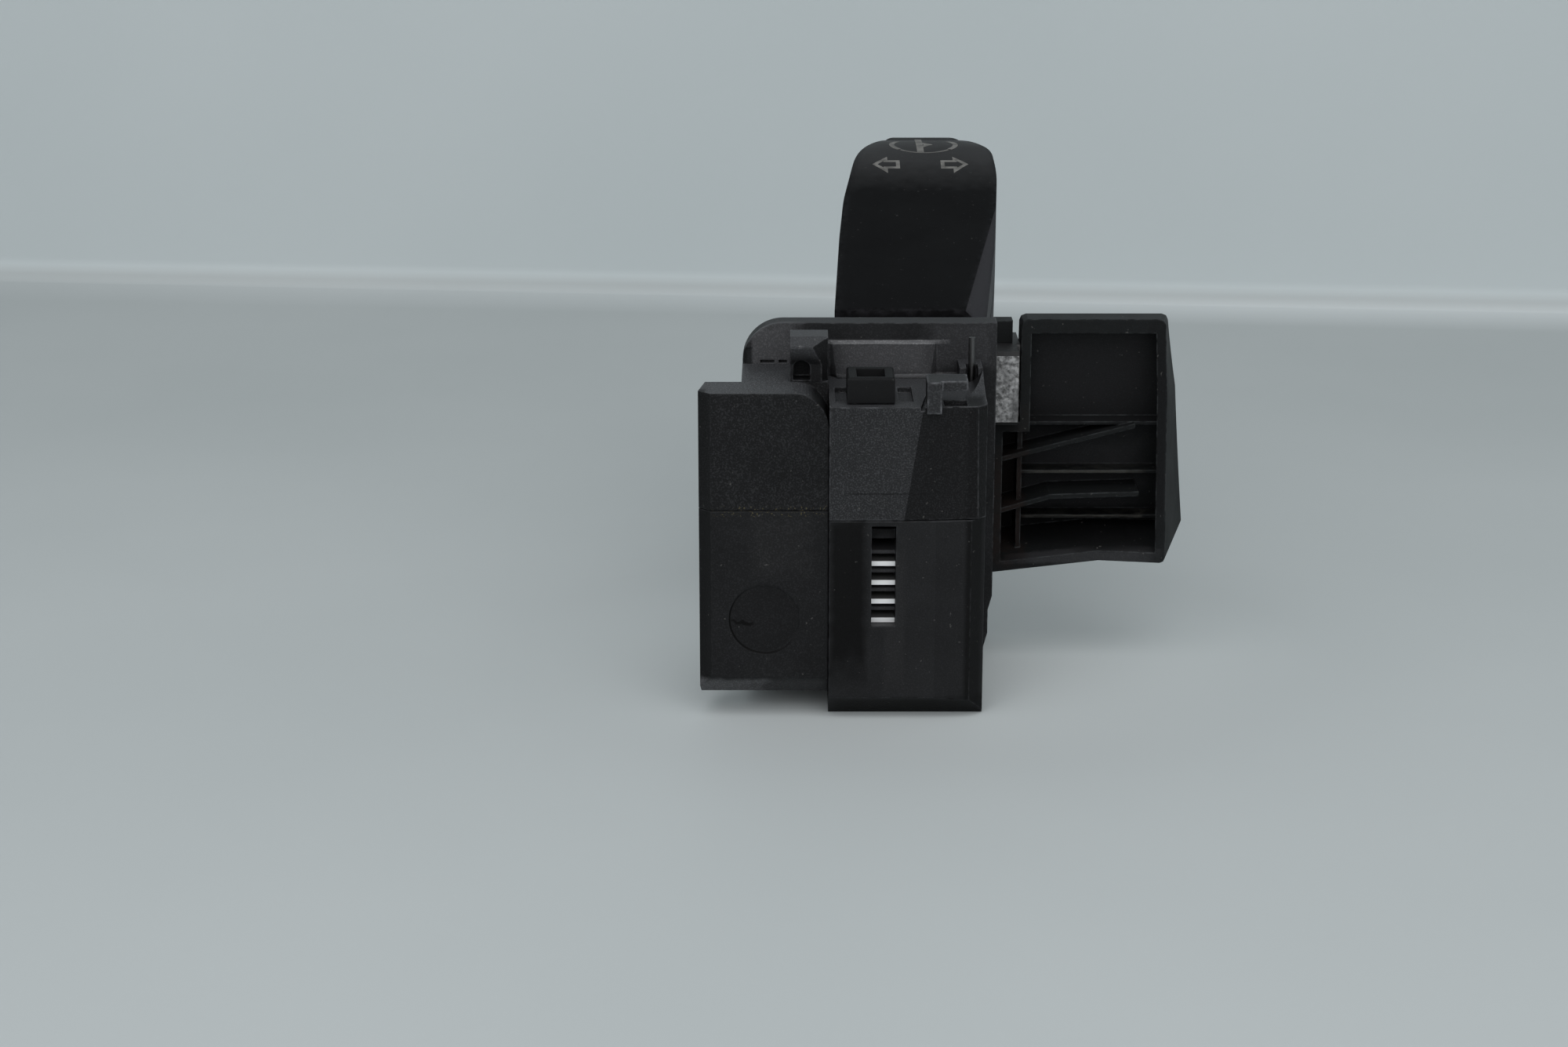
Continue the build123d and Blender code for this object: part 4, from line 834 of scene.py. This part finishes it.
def lever_finish():
    """Lever: black satin, with painted sheen on its flanks and towards its tip."""
    box = box_of("lever_shell_upper")
    # painted sheen towards the tip
    tip = Patch((box.left + 13.85, box.front + 59.5, box.top - 0.7), (40.0, 25.0, 20.0),
                (0.033, 0.033, 0.034), cover=0.8, ragged=0.2)
    # the side tone is painted sheen on the flanks, and the wide edges carry painted highlight
    return moulded("lever", front=0.0030, side=0.032, top=0.003, highlight_and_wear=0.02, rough=0.45, gloss=0.03,
                   relief=0.12, speck=0.03, cloud=0.05, edge_width=2.0, dust=0.08, tint=LEVER_TINT,
                   patches=[tip])


# --- stage, lamp and camera ---------------------------------------------------------------
def stage_surface():
    """Floor that turns up into a slightly turned wall.

    A profile of floor, quarter round and wall is carried along X.
    """
    turn = np.linspace(0, math.pi / 2, COVE_POINTS)
    y = np.concatenate([[-STAGE_HALF], WALL_Y - COVE_RADIUS + COVE_RADIUS * np.sin(turn), [WALL_Y]])
    z = np.concatenate([[0.0], COVE_RADIUS - COVE_RADIUS * np.cos(turn), [STAGE_HALF]])
    x = np.array([-STAGE_HALF, STAGE_HALF])
    points = np.stack([np.repeat(x, len(y)), np.tile(y, 2), np.tile(z, 2)], axis=1)
    points[:, 1] += WALL_TURN * points[:, 0]
    made = new_mesh("stage_cove", points, grid_faces(2, len(y))[:, ::-1])
    made.data.materials.append(stage_paint("stage_paint"))


def broad_lamp():
    """One broad soft lamp above and in front of the object, turned to face it."""
    data = bpy.data.lights.new("broad_lamp", "AREA")
    data.size = LAMP_SIZE
    data.energy = LAMP_POWER
    made = bpy.data.objects.new("broad_lamp", data)
    bpy.context.scene.collection.objects.link(made)
    made.location = LAMP_PLACE
    made.rotation_euler = (math.atan2(-LAMP_PLACE[1], LAMP_PLACE[2]), 0, 0)


def room():
    """The plain light that comes from all round."""
    world = bpy.data.worlds.new("room")
    bpy.context.scene.world = world
    world.use_nodes = True
    background = world.node_tree.nodes["Background"]
    background.inputs["Color"].default_value = (*ROOM_COLOUR, 1)
    background.inputs["Strength"].default_value = ROOM_STRENGTH


def camera():
    """The fixed camera in front of the plug face."""
    data = bpy.data.cameras.new("camera")
    data.lens = CAMERA_LENS
    data.sensor_width = SENSOR_WIDTH
    data.clip_start = CAMERA_NEAR
    made = bpy.data.objects.new("camera", data)
    bpy.context.scene.collection.objects.link(made)
    made.location = CAMERA_PLACE
    made.rotation_euler = (math.pi / 2 - CAMERA_PITCH, 0, 0)
    bpy.context.scene.camera = made


# --- main ---------------------------------------------------------------------------------
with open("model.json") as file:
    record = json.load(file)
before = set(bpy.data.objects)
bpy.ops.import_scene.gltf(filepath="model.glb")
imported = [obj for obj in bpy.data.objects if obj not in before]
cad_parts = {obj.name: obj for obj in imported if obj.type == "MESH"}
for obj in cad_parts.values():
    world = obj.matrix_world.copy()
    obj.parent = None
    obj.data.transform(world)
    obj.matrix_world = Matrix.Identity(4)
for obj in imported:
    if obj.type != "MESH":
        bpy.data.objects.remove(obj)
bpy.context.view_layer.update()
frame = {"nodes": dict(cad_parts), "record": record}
bpy.context.scene.view_settings.view_transform = "Standard"
camera()
broad_lamp()
room()
stage_surface()

GROUPS = {"edge_highlight_and_wear": edge_highlight_and_wear_group(), "grain": grain_group(), "dust": dust_group(),
          "patch": patch_group(), "round_mark": round_mark_group(), "turned": turned_group()}
FINISHES = {
    "left_upper": left_upper_finish(),
    "left_lower": left_lower_finish(),
    "contact_cover": contact_cover_finish(),
    "plug_cover": plug_cover_finish(),
    "flange": flange_finish(),
    "hook": hook_finish(),
    "rail": moulded("rail", front=0.022, side=0.010, top=0.022, highlight_and_wear=0.22, relief=0.9, speck=0.35,
                    edge_width=0.5),
    "finger": moulded("finger", front=0.0070, side=0.004, top=0.006, highlight_and_wear=0.02, rough=0.6, relief=0.2,
                      speck=0.05, cloud=0.05, dust=0.1),
    "shroud": shroud_finish(),
    "lever": lever_finish(),
    "inner_plastic": moulded("inner_plastic", front=0.045, side=0.045, top=0.045, highlight_and_wear=0.12),
    "bracket": scuffed("bracket", pale=grey(0.20), shaded=(0.014, 0.014, 0.0145), rough=0.55),
    "board": moulded("board", front=0.05, side=0.05, top=0.05, tint=BOARD_TINT),
    # the blade tops darkened by painted shade
    "contact_metal": metal("contact_metal", grey(1.0), rough=0.42, scratch_scale=300.0, shine=0.5,
                           top=0.12),
    "steel": metal("steel", grey(0.62), rough=0.25, scratch_scale=400.0),
    "pin_steel": metal("pin_steel", grey(0.12), rough=0.35, scratch_scale=400.0),
    "sign_ink": ink("sign_ink", np.array([0.165, 0.16, 0.15])),
}
SLOT_FINISH = {"housing_plastic": "plug_cover", "finger_plastic": "finger", "lever_plastic": "lever",
               "inner_plastic": "inner_plastic", "grey_plastic": "bracket", "board": "board",
               "contact_metal": "contact_metal", "steel": "steel"}
NODE_FINISH = {"left_cover_upper": "left_upper", "left_cover_lower": "left_lower", "pawl_pin": "pin_steel",
               "contact_cover": "contact_cover", "rear_housing": "flange", "latch_hook": "hook",
               "guide_rail": "rail", "shroud_shell": "shroud", "shroud_clip": "shroud"}
for entry in frame["record"]["subparts"]:
    finish = NODE_FINISH.get(entry["node"], SLOT_FINISH[entry["material_slot"]])
    made = frame["nodes"][entry["node"]]
    made.data.materials.clear()
    made.data.materials.append(FINISHES[finish])

CREST = crest_line("lever_shell_upper")
lever_signs()
return_spring()
